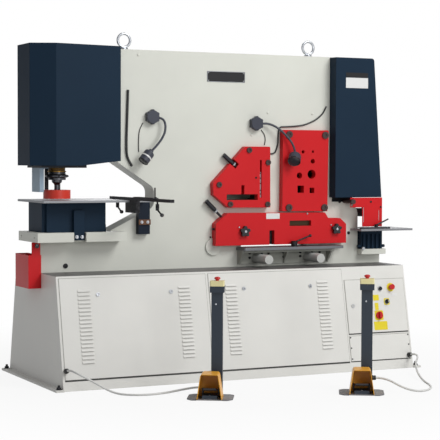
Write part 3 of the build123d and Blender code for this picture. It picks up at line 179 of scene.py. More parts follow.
left_route = ((-1325, -566.8, 137.8), (-1325, -631.5, 150.9), (-1303, -694, 134), (-1250, -730, 105),
              (-1185, -742, 66), (-1130, -772, 30), (-1080, -830, 9), (-1010, -895, 7),
              (-915, -927, 7), (-815, -915, 7), (-722, -882, 8), (-640, -880, 18),
              (-578, -940, 36), (-557.3, -1050.6, 45), (-590.3, -1107.7, 45))
right_route = ((1319, -574.5, 99.8), (1319, -639.2, 112.9), (1287, -714, 98), (1214, -792, 76),
               (1136, -916, 50), (1070, -1052, 24), (1014, -1195, 7), (968, -1325, 7),
               (905, -1445, 7), (818, -1530, 7), (722, -1543, 8), (646, -1496, 30),
               (561.9, -1422.5, 90), (504.8, -1389.5, 90))


def floor_cord(name, route, node):
    """A cable drawn along a route in mm, in place of the CAD node that holds its room."""
    line = bpy.data.curves.new(name, "CURVE")
    line.dimensions = "3D"
    spline = line.splines.new("NURBS")
    spline.points.add(len(route) - 1)
    for point, place in zip(spline.points, route):
        point.co = (place[0] / 1000, place[1] / 1000, place[2] / 1000, 1)
    spline.order_u = 3
    spline.use_endpoint_u = True
    spline.resolution_u = 12
    line.bevel_depth = cord_diameter / 2
    line.bevel_resolution = 4
    line.use_fill_caps = True
    line.materials.append(sleeve)
    cord = bpy.data.objects.new(name, line)
    bpy.context.scene.collection.objects.link(cord)
    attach(cord, "machine")
    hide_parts(node)


floor_cord("left_floor_cord", left_route, "left_cord")
floor_cord("right_floor_cord", right_route, "right_cord")


# Cord glands: moulded black nylon, screwed into the cabinet and the pedal stations. Each has a hexagonal nut
# and a round cap that grips the cord.

def dress(node, material):
    """Gives a CAD piece its finish."""
    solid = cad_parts[node]
    solid.data.materials.clear()
    solid.data.materials.append(material)
    for face in solid.data.polygons:
        face.material_index = 0


def spot(place, out=(0, -1, 0), up=(0, 0, 1)):
    """The frame of a spot on a surface, from a place in mm: x across it, y up it and z out of it."""
    z_axis = Vector(out).normalized()
    x_axis = Vector(up).cross(z_axis).normalized()
    turn = Matrix((x_axis, z_axis.cross(x_axis), z_axis)).transposed().to_4x4()
    return Matrix.Translation(Vector(place) / 1000) @ turn


cabinet_height = 740
front_foot = -560
front_lean = 150
slope = math.hypot(cabinet_height, front_lean)
front_out = Vector((0, -cabinet_height, front_lean)) / slope
front_up = Vector((0, front_lean, cabinet_height)) / slope


def on_cabinet(x, up, out=0.0):
    """A spot on the cabinet's leaning front, by its distance up the slope."""
    return spot(Vector((x, front_foot, 0)) + front_up * up + front_out * out, front_out, front_up)


def skin(mesh, rings, where, ring_shaped=False):
    """Adds a skin through rings of points in mm, closed by end faces or joined into a ring."""
    made = [[mesh.verts.new(where @ (Vector(point) / 1000)) for point in ring] for ring in rings]
    pairs = list(zip(made, made[1:]))
    if ring_shaped:
        pairs.append((made[-1], made[0]))
    else:
        mesh.faces.new(list(reversed(made[0])))
        mesh.faces.new(made[-1])
    for low, high in pairs:
        for index in range(len(low)):
            after = (index + 1) % len(low)
            mesh.faces.new((low[index], low[after], high[after], high[index]))


def turned(mesh, profile, where, sides=24, ring_shaped=False):
    """A turned form from (radius, height) points in mm; six sides make a nut."""
    rings = []
    for radius, height in profile:
        angles = [2 * math.pi * step / sides for step in range(sides)]
        rings.append([(radius * math.cos(a), radius * math.sin(a), height) for a in angles])
    skin(mesh, rings, where, ring_shaped)


def piece(name, mesh, material, body):
    """Makes the mesh so far a piece of the part that moves with a body."""
    bmesh.ops.recalc_face_normals(mesh, faces=mesh.faces)
    data = bpy.data.meshes.new(name)
    mesh.to_mesh(data)
    mesh.free()
    data.polygons.foreach_set("use_smooth", [True] * len(data.polygons))
    data.set_sharp_from_angle(angle=math.radians(35))
    data.materials.append(material)
    made = bpy.data.objects.new(name, data)
    bpy.context.scene.collection.objects.link(made)
    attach(made, body)
    return made


def noise(tree, scale, detail):
    """Soft noise in the object's own frame, where one over the scale is its size in metres."""
    place = add_node(tree, "ShaderNodeTexCoord")
    return add_node(tree, "ShaderNodeTexNoise", {"Scale": scale, "Detail": detail},
                    {"Vector": (place, "Object")})


# Moulded black nylon: a soft sheen and a fine grain, drawn at 3 mm where the real one is finer
black_nylon, nylon_shader = surface("moulded_black_nylon", "#1b1b1d", 0.45, ior=1.53)
emboss(black_nylon.node_tree, nylon_shader, noise(black_nylon.node_tree, 330.0, 2.0), 0.15, 0.0005)
dress("cable_glands", black_nylon)

station_turn = math.radians(-30)
stations = [Matrix.Translation((x / 1000, y / 1000, 0)) @ Matrix.Rotation(station_turn, 4, "Z")
            for x, y in ((-587, -1172), (385, -1407))]

gland_nuts = bmesh.new()
for gland_spot, inner in (
    (on_cabinet(-1325, 131 * slope / cabinet_height, 3.3), 13.2),
    (on_cabinet(1319, 93 * slope / cabinet_height, 3.3), 13.2),
    (stations[0] @ spot((-35, 30, 45), (0, 1, 0)), 12.2),
    (stations[1] @ spot((71, 75, 90), (1, 0, 0)), 12.2),
):
    turned(gland_nuts, ((inner, 0.2), (inner + 4.5, 0.2), (inner + 5.5, 1.5), (inner + 5.5, 8),
                        (inner + 4.5, 9.5), (inner, 9.5)), gland_spot, 6, ring_shaped=True)
    turned(gland_nuts, ((inner, 11), (inner + 3.2, 11), (inner + 3.2, 20), (inner + 1.2, 25), (inner, 25)),
           gland_spot, 18, ring_shaped=True)
piece("gland_nuts", gland_nuts, black_nylon, "machine")


# Base cabinet: 8 mm steel plate, bent and welded, with leaning front and back and a thick deck on top. It is
# sprayed in a warm pale grey two-part enamel; the deck is painted dark grey, where oil and scale fall. An
# anchor with a nut and a washer holds each foot.

def vary_gloss(tree, shader, pattern, low, high):
    """Lets a pattern vary the shader's roughness between two values."""
    spread = add_node(tree, "ShaderNodeMapRange", {"To Min": low, "To Max": high},
                      {"Value": (pattern, "Fac")})
    tree.links.new(spread.outputs[0], shader.inputs["Roughness"])


def break_edges(tree, shader, radius_mm):
    """Rounds the shading at sharp edges, as on a part whose edges were broken by hand."""
    edge = add_node(tree, "ShaderNodeBevel", {"Radius": radius_mm / 1000}, samples=4)
    tree.links.new(edge.outputs["Normal"], shader.inputs["Normal"])


def enamel(name, colour, roughness=0.42, edge_mm=1.5, peel_mm=14.0, tone=0.035, specular=0.4):
    """Sprayed enamel on steel: an even colour with a faint orange peel and softly rounded paint edges.

    The real peel is about 3 mm across and would not show, so it is drawn several times as coarse.
    """
    material, shader = surface(name, colour, roughness, ior=1.5, specular=specular)
    tree = material.node_tree
    place = add_node(tree, "ShaderNodeTexCoord")
    cloud = add_node(tree, "ShaderNodeTexNoise", {"Scale": 1000 / 420.0, "Detail": 3.0},
                     {"Vector": (place, "Object")})
    shade = add_node(tree, "ShaderNodeMapRange", {"From Min": 0.3, "From Max": 0.7, "To Min": 1 - tone,
                                                  "To Max": 1 + tone}, {"Value": (cloud, "Fac")})
    base = add_node(tree, "ShaderNodeMix", {"Factor": 1.0, "A": linear(colour)}, {"B": (shade, 0)},
                    data_type="RGBA", blend_type="MULTIPLY")
    tree.links.new(base.outputs["Result"], shader.inputs["Base Color"])
    peel = add_node(tree, "ShaderNodeTexNoise", {"Scale": 1000 / peel_mm, "Detail": 2.0},
                    {"Vector": (place, "Object")})
    vary_gloss(tree, shader, cloud, roughness - 0.05, roughness + 0.08)
    edge = add_node(tree, "ShaderNodeBevel", {"Radius": edge_mm / 1000}, samples=4)
    relief = add_node(tree, "ShaderNodeBump", {"Strength": 0.06, "Distance": 0.002},
                      {"Height": (peel, "Fac"), "Normal": (edge, "Normal")})
    tree.links.new(relief.outputs["Normal"], shader.inputs["Normal"])
    return material


def second_colour(material, axis, limit, colour, below=False):
    """Another colour beyond a limit in metres along an axis, where two pieces share a node."""
    tree = material.node_tree
    shader = tree.nodes["Principled BSDF"]
    base = shader.inputs["Base Color"].links[0].from_node
    place = add_node(tree, "ShaderNodeTexCoord")
    parts = add_node(tree, "ShaderNodeSeparateXYZ", links={0: (place, "Object")})
    beyond = add_node(tree, "ShaderNodeMath", {1: limit}, {0: (parts, axis)},
                      operation="LESS_THAN" if below else "GREATER_THAN")
    mixed = add_node(tree, "ShaderNodeMix", {"B": linear(colour)},
                     {"Factor": (beyond, 0), "A": (base, "Result")}, data_type="RGBA")
    tree.links.new(mixed.outputs["Result"], shader.inputs["Base Color"])
    return material


cabinet_paint = second_colour(enamel("cabinet_enamel", "#dad9d4"), "Z", 0.7395, "#5b5a59")
dress("base_cabinet", cabinet_paint)

# Zinc-plated steel: bright and slightly blue, with cloudy roughness left by the bath
zinc, zinc_shader = surface("zinc_plated_steel", "#c3c6cb", 0.28, metallic=1.0)
tree = zinc.node_tree
vary_gloss(tree, zinc_shader, noise(tree, 90.0, 3.0), 0.2, 0.42)
break_edges(tree, zinc_shader, 1.0)

# Black oxide steel: a dark conversion coat that keeps the metal's shine, with paler, rubbed spots
black_oxide, oxide_shader = surface("black_oxide_steel", "#222225", 0.42, metallic=0.7)
tree = black_oxide.node_tree
two_tone(tree, oxide_shader, noise(tree, 60.0, 4.0), "#18181a", "#3d3d41", 0.35, 0.75)
break_edges(tree, oxide_shader, 1.0)

upward = ((0, 0, 1), (0, 1, 0))
flange_top = 15
anchors = bmesh.new()
for x in (-1377, 1377):
    for y in (-545, 545):
        foot_top = spot((x, y, flange_top), *upward)
        turned(anchors, ((19, 0.2), (20, 0.8), (20, 2.6), (19, 3.2)), foot_top)
        turned(anchors, ((14, 3.2), (16, 4.6), (16, 14), (14, 15.6)), foot_top, 6)
        turned(anchors, ((8.5, 15.6), (8.5, 27), (7, 29)), foot_top, 16)
piece("floor_anchors", anchors, black_oxide, "machine")


# Louvred panels: 3 mm steel sheet with pressed louvres, in the same enamel as the cabinet. Strips in the gap
# round each panel and the door paint its shade: a pale bead at the top and sides, and a black rubber seal
# below, which also paints the shadow under the panel's edge. Two quarter-turn locks hold each louvred panel,
# and the lower right one is screwed on.

def plate(mesh, width, height, thick, where, corner=2.0, edge=0.4):
    """A flat plate with round corners and a broken edge, in mm, lying on a surface."""
    rings = []
    for inset, level in ((0, 0), (0, thick - edge), (edge, thick)):
        ring = []
        radius = max(corner - inset, 0.1)
        for number, (side_x, side_y) in enumerate(((1, 1), (-1, 1), (-1, -1), (1, -1))):
            for step in range(4):
                angle = math.radians(90 * number + 30 * step)
                ring.append((side_x * (width / 2 - inset - radius) + radius * math.cos(angle),
                             side_y * (height / 2 - inset - radius) + radius * math.sin(angle), level))
        rings.append(ring)
    skin(mesh, rings, where)


def gap_shade_strips(width, height, band, low_band, where):
    """Strips in the gap round a panel, as painted shade: a pale bead at its top and sides, and a black seal
    below it, darker where the shadow falls.
    """
    for mesh, x, y, across, along in ((gap_shade_beads, 0, (height + band) / 2, width + 2 * band, band),
                                      (gap_shade_beads, -(width + band) / 2, 0, band, height),
                                      (gap_shade_beads, (width + band) / 2, 0, band, height),
                                      (gap_shadow_seals, 0, -(height + low_band) / 2, width + 2 * band, low_band)):
        strip_spot = where @ Matrix.Translation((x / 1000, y / 1000, 0))
        plate(mesh, across, along, 1.6, strip_spot, corner=0.3, edge=0.2)


dress("front_panels", cabinet_paint)

# Black rubber: dull and slightly dusty, so that the seals read as dark grey lines; round the panels and in the
# key slots it also stands for painted shade
black_rubber_and_shade, black_rubber_and_shade_shader = surface("black_epdm_rubber_and_painted_shade", "#2b2b2a", 0.75, ior=1.52)
tree = black_rubber_and_shade.node_tree
two_tone(tree, black_rubber_and_shade_shader, noise(tree, 40.0, 4.0), "#242423", "#4a4a47")

# Pale sealant: matt and a little darker than the paint, drawn as thin lines round the panels; the darkening is
# painted shade in the gap
gap_shade_sealant, gap_shade_sealant_shader = surface("pale_grey_gap_shade", "#a3a29b", 0.7, ior=1.45)
tree = gap_shade_sealant.node_tree
two_tone(tree, gap_shade_sealant_shader, noise(tree, 18.0, 3.0), "#8d8c85", "#b8b7b0")

hair_gap = 0.1
gap_shade_beads = bmesh.new()
gap_shadow_seals = bmesh.new()
for centre in (-800, 285):
    gap_shade_strips(1062, 664, 3.5, 11, on_cabinet(centre, 406, hair_gap))
gap_shade_strips(498, 384, 4, 8, on_cabinet(1085, 464, hair_gap))
gap_shade_strips(502, 178, 3.5, 7, on_cabinet(1085, 163, hair_gap))
piece("panel_gap_shade_beads", gap_shade_beads, gap_shade_sealant, "machine")
piece("panel_gap_shadow_seals", gap_shadow_seals, black_rubber_and_shade, "machine")

lock_up = 626
lock_face = 8.4
panel_locks = bmesh.new()
# A thin black plate in each lock is painted shade in its key slot
lock_slot_shades = bmesh.new()
for x in (-1065, -535, 20, 550):
    turned(panel_locks, ((9.5, 7.4), (14, 7.4), (14.4, 8.2), (13.4, 9.2), (10.2, 9.2), (9.5, 8.6)),
           on_cabinet(x, lock_up), 24, ring_shaped=True)
    turned(panel_locks, ((0.4, 7.4), (8.6, 7.4), (8.2, 8.3), (0.4, 8.5)), on_cabinet(x, lock_up))
    plate(lock_slot_shades, 3.2, 13, 0.5, on_cabinet(x, lock_up, lock_face), 1.4, 0.2)
piece("panel_locks", panel_locks, zinc, "machine")
piece("lock_slot_shades", lock_slot_shades, black_rubber_and_shade, "machine")

panel_screws = bmesh.new()
for x, up in ((842, 90), (842, 168), (842, 243), (1328, 90), (1328, 172), (1328, 243)):
    turned(panel_screws, ((5.5, 3.4), (5.4, 4.6), (3.6, 6.0), (1.5, 6.3)), on_cabinet(x, up), 16)
piece("panel_screws", panel_screws, black_oxide, "machine")


# Cabinet door: a folded sheet door with a quarter-turn lock. It carries the main switch, a selector, a push
# button and a stop button of moulded plastic, zinc-plated bezels, and plain plates of anodised sheet.

def ring(mesh, inner, thick, where, outer=0.0, half_side=0.0, edge=0.3, sides=32):
    """A flat ring round a control, with a round or a square outline and a broken edge, in mm."""
    angles = [2 * math.pi * (step + 0.5) / sides for step in range(sides)]
    rings = []
    for inset, level in ((0, 0), (0, thick - edge), (edge, thick)):
        outline = []
        for angle in angles:
            far = outer or half_side / max(abs(math.cos(angle)), abs(math.sin(angle)))
            outline.append(((far - inset) * math.cos(angle), (far - inset) * math.sin(angle), level))
        rings.append(outline)
    for level in (thick, 0):
        rings.append([(inner * math.cos(angle), inner * math.sin(angle), level) for angle in angles])
    skin(mesh, rings, where, ring_shaped=True)


dress("cabinet_door", cabinet_paint)


def anodised(name, colour, roughness=0.42):
    """Anodised sheet: thin aluminium with a dyed satin skin, a flat colour with a soft metal sheen."""
    material, shader = surface(name, colour, roughness, metallic=0.25)
    tree = material.node_tree
    place = add_node(tree, "ShaderNodeTexCoord")
    stretch = add_node(tree, "ShaderNodeMapping", {"Scale": (0.05, 1.0, 1.0)}, {"Vector": (place, "Object")})
    drawn = add_node(tree, "ShaderNodeTexNoise", {"Scale": 500.0, "Detail": 2.0},
                     {"Vector": (stretch, "Vector")})
    vary_gloss(tree, shader, drawn, roughness - 0.06, roughness + 0.08)
    return material


yellow_sheet = anodised("yellow_anodised_sheet", "#e3cf2c")
white_sheet = anodised("white_anodised_sheet", "#dcdcda")

door_face = 4.4
plate_sheet = 1.2
selector_place = (1175, 491)
door_lock_place = (888, 469)

door_plates = bmesh.new()
ring(door_plates, 28, plate_sheet, on_cabinet(1099, 393, door_face), half_side=36)
plate(door_plates, 112, 62, plate_sheet, on_cabinet(1106, 318, door_face), 3)
ring(door_plates, 16, plate_sheet, on_cabinet(*selector_place, door_face), half_side=24)
plate(door_plates, 48, 42, plate_sheet, on_cabinet(1087, 522, door_face), 3)
plate(door_plates, 30, 52, plate_sheet, on_cabinet(1086, 458, door_face), 3)
piece("yellow_door_plates", door_plates, yellow_sheet, "door")

estop_collar = bmesh.new()
ring(estop_collar, 12, 3.5, on_cabinet(1218, 594, door_face), outer=31)
piece("door_estop_collar", estop_collar, yellow_sheet, "door")

white_plates = bmesh.new()
plate(white_plates, 46, 22, 1.0, on_cabinet(1246, 540, door_face), 2)
plate(white_plates, 30, 18, 1.0, on_cabinet(1127, 622, door_face), 2)
piece("white_door_plates", white_plates, white_sheet, "door")

bezels = bmesh.new()
ring(bezels, 13.5, 6, on_cabinet(1127, 587, door_face), outer=17.5)
ring(bezels, 15.6, 3, on_cabinet(*selector_place, 5.8), outer=19)
turned(bezels, ((9, 8.4), (13, 8.4), (13.4, 9.2), (12.4, 10), (9.6, 10), (9, 9.4)),
       on_cabinet(*door_lock_place), 24, ring_shaped=True)
piece("control_bezels", bezels, zinc, "door")

# A thin dark plate in the door lock is painted shade in its key slot
door_slot_shade = bmesh.new()
plate(door_slot_shade, 3, 12, 0.6, on_cabinet(*door_lock_place, lock_face), 1.3, 0.2)
piece("door_lock_slot_shade", door_slot_shade, black_rubber_and_shade, "door")


def moulded(name, colour, roughness=0.3):
    """Moulded thermoplastic: an even, saturated colour with a clear, slightly soft highlight."""
    material, shader = surface(name, colour, roughness, ior=1.53)
    tree = material.node_tree
    vary_gloss(tree, shader, noise(tree, 45.0, 3.0), roughness - 0.08, roughness + 0.12)
    break_edges(tree, shader, 1.5)
    return material


red_plastic = moulded("moulded_red_nylon", "#bf1b1d")
for node in ("main_switch", "panel_estop", "left_estop", "right_estop"):
    dress(node, red_plastic)
button_plastic = moulded("moulded_black_polycarbonate", "#1c1c20", 0.25)
for node in ("push_button", "selector"):
    dress(node, button_plastic)

pointer = bmesh.new()
plate(pointer, 2.2, 20, 0.5, on_cabinet(*selector_place, 29.4), 0.9, 0.2)
piece("selector_pointer", pointer, white_sheet, "selector_knob")


# Machine frame: two 40 mm steel plates, cut to the C of the throat and joined by a welded web, sprayed in a
# cool pale grey enamel. A few plugs and screws close its tapped holes, and two forged eyes lift it.

frame_grey = "#d3d4cb"
frame_paint = enamel("frame_enamel", frame_grey, edge_mm=2.5)
for node in ("frame_front_plate", "frame_rear_plate", "frame_web", "bolster_plates"):
    dress(node, frame_paint)
dress("lifting_eyes", zinc)

frame_face = -80
frame_screws = bmesh.new()
for x, z in ((-625, 2233), (394, 1850), (766, 1849), (262, 1688)):
    turned(frame_screws, ((8.5, 0.2), (8.5, 2.6), (6.5, 4.2), (2.5, 4.4)), spot((x, frame_face, z)), 20)
piece("frame_screws", frame_screws, frame_paint, "machine")

plugs = bmesh.new()
for x, z, radius in ((-1161, 783, 17), (-66, 957, 6.5), (1001, 1201, 11), (1081, 967, 12)):
    turned(plugs, ((radius, 0.2), (radius, 4), (radius - 1.5, 5.5), (radius * 0.5, 5.5), (radius * 0.48, 2.5),
                   (0.3, 2.5)), spot((x, frame_face, z)), 24)
# A grease nipple stands out of the flat plate's left edge
turned(plugs, ((9, 0.2), (9, 9), (7.5, 11), (4, 11), (4, 16), (3, 17)), spot((-55, -118, 1016), (-1, 0, 0)), 20)
piece("frame_plugs", plugs, black_oxide, "machine")

# A bare plate of black anodised sheet, with a thin zinc-plated trim and four rivets
black_sheet = anodised("black_anodised_sheet", "#19191b", 0.38)
trim_level = -81.6
nameplate = bmesh.new()
plate(nameplate, 303, 77, 1.5, spot((55.5, -80.1, 2100.5)), 4)
piece("bare_nameplate", nameplate, black_sheet, "machine")
name_trim = bmesh.new()
for x, z, across, high in ((55.5, 2136.5, 297, 2.5), (55.5, 2064.5, 297, 2.5), (-93.5, 2100.5, 2.5, 69),
                           (204.5, 2100.5, 2.5, 69)):
    plate(name_trim, across, high, 0.5, spot((x, trim_level, z)), 0.6, 0.2)
for x in (-84, 195):
    for z in (2073, 2128):
        turned(name_trim, ((3.4, 0), (3, 1.2), (1.2, 1.9)), spot((x, trim_level, z)), 14)
piece("nameplate_trim", name_trim, zinc, "machine")


# Covers: 3 mm steel sheet, folded over the two cylinders and sprayed in a dark, nearly matt navy enamel, like
# the die blocks below. The right one carries a bare white plate with a black band above it.

navy_enamel = enamel("navy_enamel", "#182a3b", 0.5, edge_mm=4.0, specular=0.1)
for node in ("punch_cover", "shear_cover", "die_block", "notch_die"):
    dress(node, navy_enamel)

cover_level = -170.1
cover_plate = bmesh.new()
plate(cover_plate, 190, 76, plate_sheet, spot((1092, cover_level, 2080)), 3)
piece("bare_cover_plate", cover_plate, white_sheet, "machine")
cover_band = bmesh.new()
plate(cover_band, 190, 36, plate_sheet, spot((1092, cover_level, 2138)), 3)
piece("bare_cover_band", cover_band, black_sheet, "machine")


# Punch station: a chromed ram in a painted cylinder with a bronze gland, a turned coupling nut that holds the
# punch, and a red stripper ring on two rods. A bent sheet guards the left side.

# Bronze: warm, dull metal that stays bright only where it was turned
bronze, bronze_shader = surface("turned_bronze", "#8a6a35", 0.38, metallic=1.0)
tree = bronze.node_tree
place = add_node(tree, "ShaderNodeTexCoord")
lathe_lines = add_node(tree, "ShaderNodeTexWave", {"Scale": 130.0, "Distortion": 0.6},
                       {"Vector": (place, "Object")}, bands_direction="Z")
emboss(tree, bronze_shader, lathe_lines, 0.12, 0.0006)

dark_paint = enamel("dark_grey_enamel", "#26282e", 0.45, specular=0.2)
for node in ("shear_cylinder", "shear_beam", "power_pack"):
    dress(node, dark_paint)
cylinder_enamel = enamel("cylinder_enamel", "#24262b", 0.45, specular=0.2)
dress("punch_cylinder", second_colour(cylinder_enamel, "Z", 1.4505, "#6f5223", below=True))

punch_x = -1193
gland_ring = bmesh.new()
ring(gland_ring, 46, 7, spot((punch_x, 0, 1428.8), (0, 0, -1), (0, 1, 0)), outer=64)
piece("bronze_gland_ring", gland_ring, bronze, "machine")


def ground(name, colour, roughness, line_mm=3.0, along=(1.0, 0.06, 1.0), edge_mm=1.2):
    """Ground steel: bright metal with fine lines left by the wheel, drawn coarser than the real ones."""
    material, shader = surface(name, colour, roughness, metallic=1.0)
    tree = material.node_tree
    place = add_node(tree, "ShaderNodeTexCoord")
    stretch = add_node(tree, "ShaderNodeMapping", {"Scale": along}, {"Vector": (place, "Object")})
    lines = add_node(tree, "ShaderNodeTexNoise", {"Scale": 1000 / line_mm, "Detail": 3.0},
                     {"Vector": (stretch, "Vector")})
    vary_gloss(tree, shader, lines, roughness - 0.08, roughness + 0.12)
    edge = add_node(tree, "ShaderNodeBevel", {"Radius": edge_mm / 1000}, samples=4)
    relief = add_node(tree, "ShaderNodeBump", {"Strength": 0.05, "Distance": 0.001},
                      {"Height": (lines, "Fac"), "Normal": (edge, "Normal")})
    tree.links.new(relief.outputs["Normal"], shader.inputs["Normal"])
    return material


hard_chrome = ground("hard_chrome_plate", "#cfd0d2", 0.16, along=(1.0, 1.0, 0.06))
for node in ("punch_ram", "shear_rod"):
    dress(node, hard_chrome)
tool_steel = ground("hardened_tool_steel", "#5b5c60", 0.36, along=(1.0, 1.0, 0.06))
for node in ("punch_and_nut", "punch_die", "notch_punch"):
    dress(node, tool_steel)
blade_steel = ground("oiled_blade_steel", "#4a3c2e", 0.42)
for node in ("fixed_blades", "moving_blades"):
    dress(node, blade_steel)

ring_enamel = enamel("orange_red_enamel", "#d63a2a", 0.36, edge_mm=2.5)
dress("stripper_ring", second_colour(ring_enamel, "Z", 1.3003, "#2a2c33"))

nut_radius = 80
nut_keys = bmesh.new()
for step in range(6):
    angle = math.radians(60 * step + 20)
    out = (math.cos(angle), math.sin(angle), 0)
    plate(nut_keys, 15, 9, 1.0, spot((punch_x + nut_radius * out[0], nut_radius * out[1], 1394), out), 1.5, 0.3)
piece("nut_keys", nut_keys, black_oxide, "ram")

# The guard at the left is pale blue. The rear guard, in the same node, is painted like the frame
dress("side_guard", second_colour(enamel("pale_blue_enamel", "#8fa3b3", 0.4), "Y", 0.075, frame_grey))

guard_screws = bmesh.new()
for x in (-1335, -1305):
    turned(guard_screws, ((6, -4.2), (6, -8), (4, -9.5), (1.5, -9.8)), spot((x, -60, 1451), *upward), 16)
for x in (-32, 892):
    for z in (1010, 1335, 1660):
        turned(guard_screws, ((7, 3.2), (7, 6), (5, 7.6), (2, 7.8)), spot((x, 80, z), (0, 1, 0)), 18)
piece("guard_screws", guard_screws, zinc, "machine")


# Punch table: a planed steel table on a bolted bolster, with a stop rail, a sliding stop and two clamp levers
# of black oxide steel. A red sheet box at the left catches the slugs that fall through the die.

table_steel = enamel("blued_steel", "#3c3e42", 0.4, edge_mm=1.5, specular=0.35)
dress("punch_table", second_colour(table_steel, "Z", 1.0015, "#96989c"))
# The shear table's bracket, beyond X -0.5 in the same node, is a darker grey than the frame: painted shade
# under the table
bracket_enamel_and_painted_shade = enamel("bracket_enamel_and_painted_shade", "#17202d", 0.45, specular=0.15)
dress("table_brackets", second_colour(bracket_enamel_and_painted_shade, "X", -0.5, "#a2a39b"))
for node in ("stop_rail", "stop_carriage", "squaring_lever", "fence_clamp"):
    dress(node, black_oxide)

lever_balls = bmesh.new()
for y in (-84, -774):
    turned(lever_balls, ((4, -11), (9, -9), (12.5, -4), (13.5, 2), (12, 8), (8, 12), (3, 13.5)),
           spot((-750, y, 1146), *upward), 20)
piece("lever_balls", lever_balls, button_plastic, "machine")

# The die block hangs on a clevis plate with two bolts, and a strap with two bolts holds the bolster
strap_paint = enamel("rust_brown_primer", "#6b4a35", 0.6, specular=0.3)
clevis = bmesh.new()
plate(clevis, 64, 40, 6, spot((-1098, -180.1, 984)), 4, 1)
piece("clevis_plate", clevis, navy_enamel, "machine")
strap = bmesh.new()
plate(strap, 90, 36, 5, spot((-598, -133.1, 1075)), 4, 1)
piece("bolster_strap", strap, strap_paint, "machine")
clevis_bolts = bmesh.new()
for x, y, z, radius in ((-1117, -186.1, 984, 9), (-1079, -186.1, 984, 9), (-620, -138.1, 1075, 8),
                        (-576, -138.1, 1075, 8)):
    turned(clevis_bolts, ((radius + 3, 0), (radius + 3, 1.6), (radius + 2.5, 2)), spot((x, y, z)), 24)
    turned(clevis_bolts, ((radius - 0.5, 2), (radius, 3), (radius, 7.5), (radius - 1.2, 9)), spot((x, y, z)), 6)
piece("clevis_bolts", clevis_bolts, zinc, "machine")

# Satin red enamel: saturated, with a soft highlight at every folded edge
red_enamel = enamel("signal_red_enamel", "#c61a20", 0.4, edge_mm=2.0, specular=0.22)
dress("slug_box", red_enamel)
slug_knob = bmesh.new()
turned(slug_knob, ((9, 0.2), (14, 2), (15, 6), (15, 13), (13, 16), (6, 17.5)), spot((-1388, -143, 928)), 24)
piece("slug_box_knob", slug_knob, button_plastic, "machine")


# Shears: angle, section and flat plates of red enamelled steel stand on bolts before the blades. A screw with a
# long handle and a lock nut holds each bar down, and a star knob sets each stop.

for node in ("angle_plate", "section_plate", "flat_plate"):
    dress(node, red_enamel)
dress("plate_bolts", enamel("red_brown_oxide_steel", "#3a2a28", 0.45, edge_mm=1.2, specular=0.45))
dress("pivot_pin", frame_paint)

# Knurled grips: dark steel with a cross-cut that catches light, drawn at 6 mm where the real one is 1.5 mm
knurl, knurl_shader = surface("knurled_dark_steel", "#3b3b3f", 0.38, metallic=1.0)
tree = knurl.node_tree
place = add_node(tree, "ShaderNodeTexCoord")
cuts = []
for turn in (40, -40):
    slanted = add_node(tree, "ShaderNodeMapping", {"Rotation": (0.0, math.radians(turn), math.radians(turn))},
                       {"Vector": (place, "Object")})
    cuts.append(add_node(tree, "ShaderNodeTexWave", {"Scale": 50.0}, {"Vector": (slanted, "Vector")}))
crossed = add_node(tree, "ShaderNodeMath", operation="MULTIPLY",
                   links={0: (cuts[0], "Fac"), 1: (cuts[1], "Fac")})
emboss(tree, knurl_shader, crossed, 0.5, 0.001, 0)
for node in ("angle_hold_down", "flat_hold_down"):
    dress(node, knurl)
for node in ("left_star_knob", "right_star_knob"):
    dress(node, button_plastic)

screw_y = -107
for name, start, tip, body in (("angle_lock_nut", (24, 1544), (186, 1410), "angle_screw"),
                               ("flat_lock_nut", (-112, 1217), (32, 1077), "flat_screw")):
    way = Vector((tip[0] - start[0], 0, tip[1] - start[1])).normalized()
    nut = bmesh.new()
    turned(nut, ((15.2, 98), (19, 98), (20.5, 99.5), (20.5, 108.5), (19, 110), (15.2, 110)),
           spot((start[0], screw_y, start[1]), way, (0, -1, 0)), 6, ring_shaped=True)
    piece(name, nut, zinc, body)

flat_face = -145
for side, x, z in (("left", 172, 997), ("right", 931, 1002)):
    star_cap = bmesh.new()
    turned(star_cap, ((10, 26.2), (10, 28.5), (8.5, 30), (3, 30.5)), spot((x, flat_face, z)), 24)
    piece(side + "_star_cap", star_cap, zinc, side + "_star")

# A zinc-plated strip with five screws lies behind the angle plate's long slit
slit_x = 313
slit_back = -118
slit_strip = bmesh.new()
plate(slit_strip, 13, 182, 2, spot((slit_x, slit_back, 1330)), 2)
piece("angle_stop_strip", slit_strip, zinc, "machine")
small_screw = ((7, 0.2), (7, 3), (5.5, 4.2), (2, 4.4))
slit_screws = bmesh.new()
for z in (1412, 1378, 1340, 1290, 1264):
    turned(slit_screws, ((4.6, 2.1), (4.6, 4), (3.4, 5), (1.2, 5.2)), spot((slit_x, slit_back, z)), 16)
turned(slit_screws, small_screw, spot((274, -130, 1381)), 18)
piece("slit_screws", slit_screws, black_oxide, "machine")

# The flat plate: a bare white label, dark inserts in its notch and its slot, and four dowels. The insert in the
# slot has the blades' colour and also paints the shade seen through the slot
flat_plate_label = bmesh.new()
plate(flat_plate_label, 110, 41, 1.0, spot((405, flat_face - hair_gap, 1103.5)), 3)
piece("bare_flat_plate_label", flat_plate_label, white_sheet, "machine")
notch_insert = bmesh.new()
plate(notch_insert, 39, 98, 12, spot((397.5, -97, 948)), 2, 1)
piece("flat_notch_insert", notch_insert, black_oxide, "machine")
slot_blade_and_shade = bmesh.new()
plate(slot_blade_and_shade, 179.6, 38.6, 10, spot((633, -112, 1048.5)), 2, 1)
piece("flat_slot_blade_and_shade", slot_blade_and_shade, blade_steel, "machine")
dowels = bmesh.new()
for x, z in ((132, 1027), (891, 1032), (690, 1118), (560, 905)):
    turned(dowels, ((6, 0.2), (6, 4), (4.5, 5.5), (2, 5.7)), spot((x, flat_face, z)), 18)
piece("flat_plate_dowels", dowels, zinc, "machine")


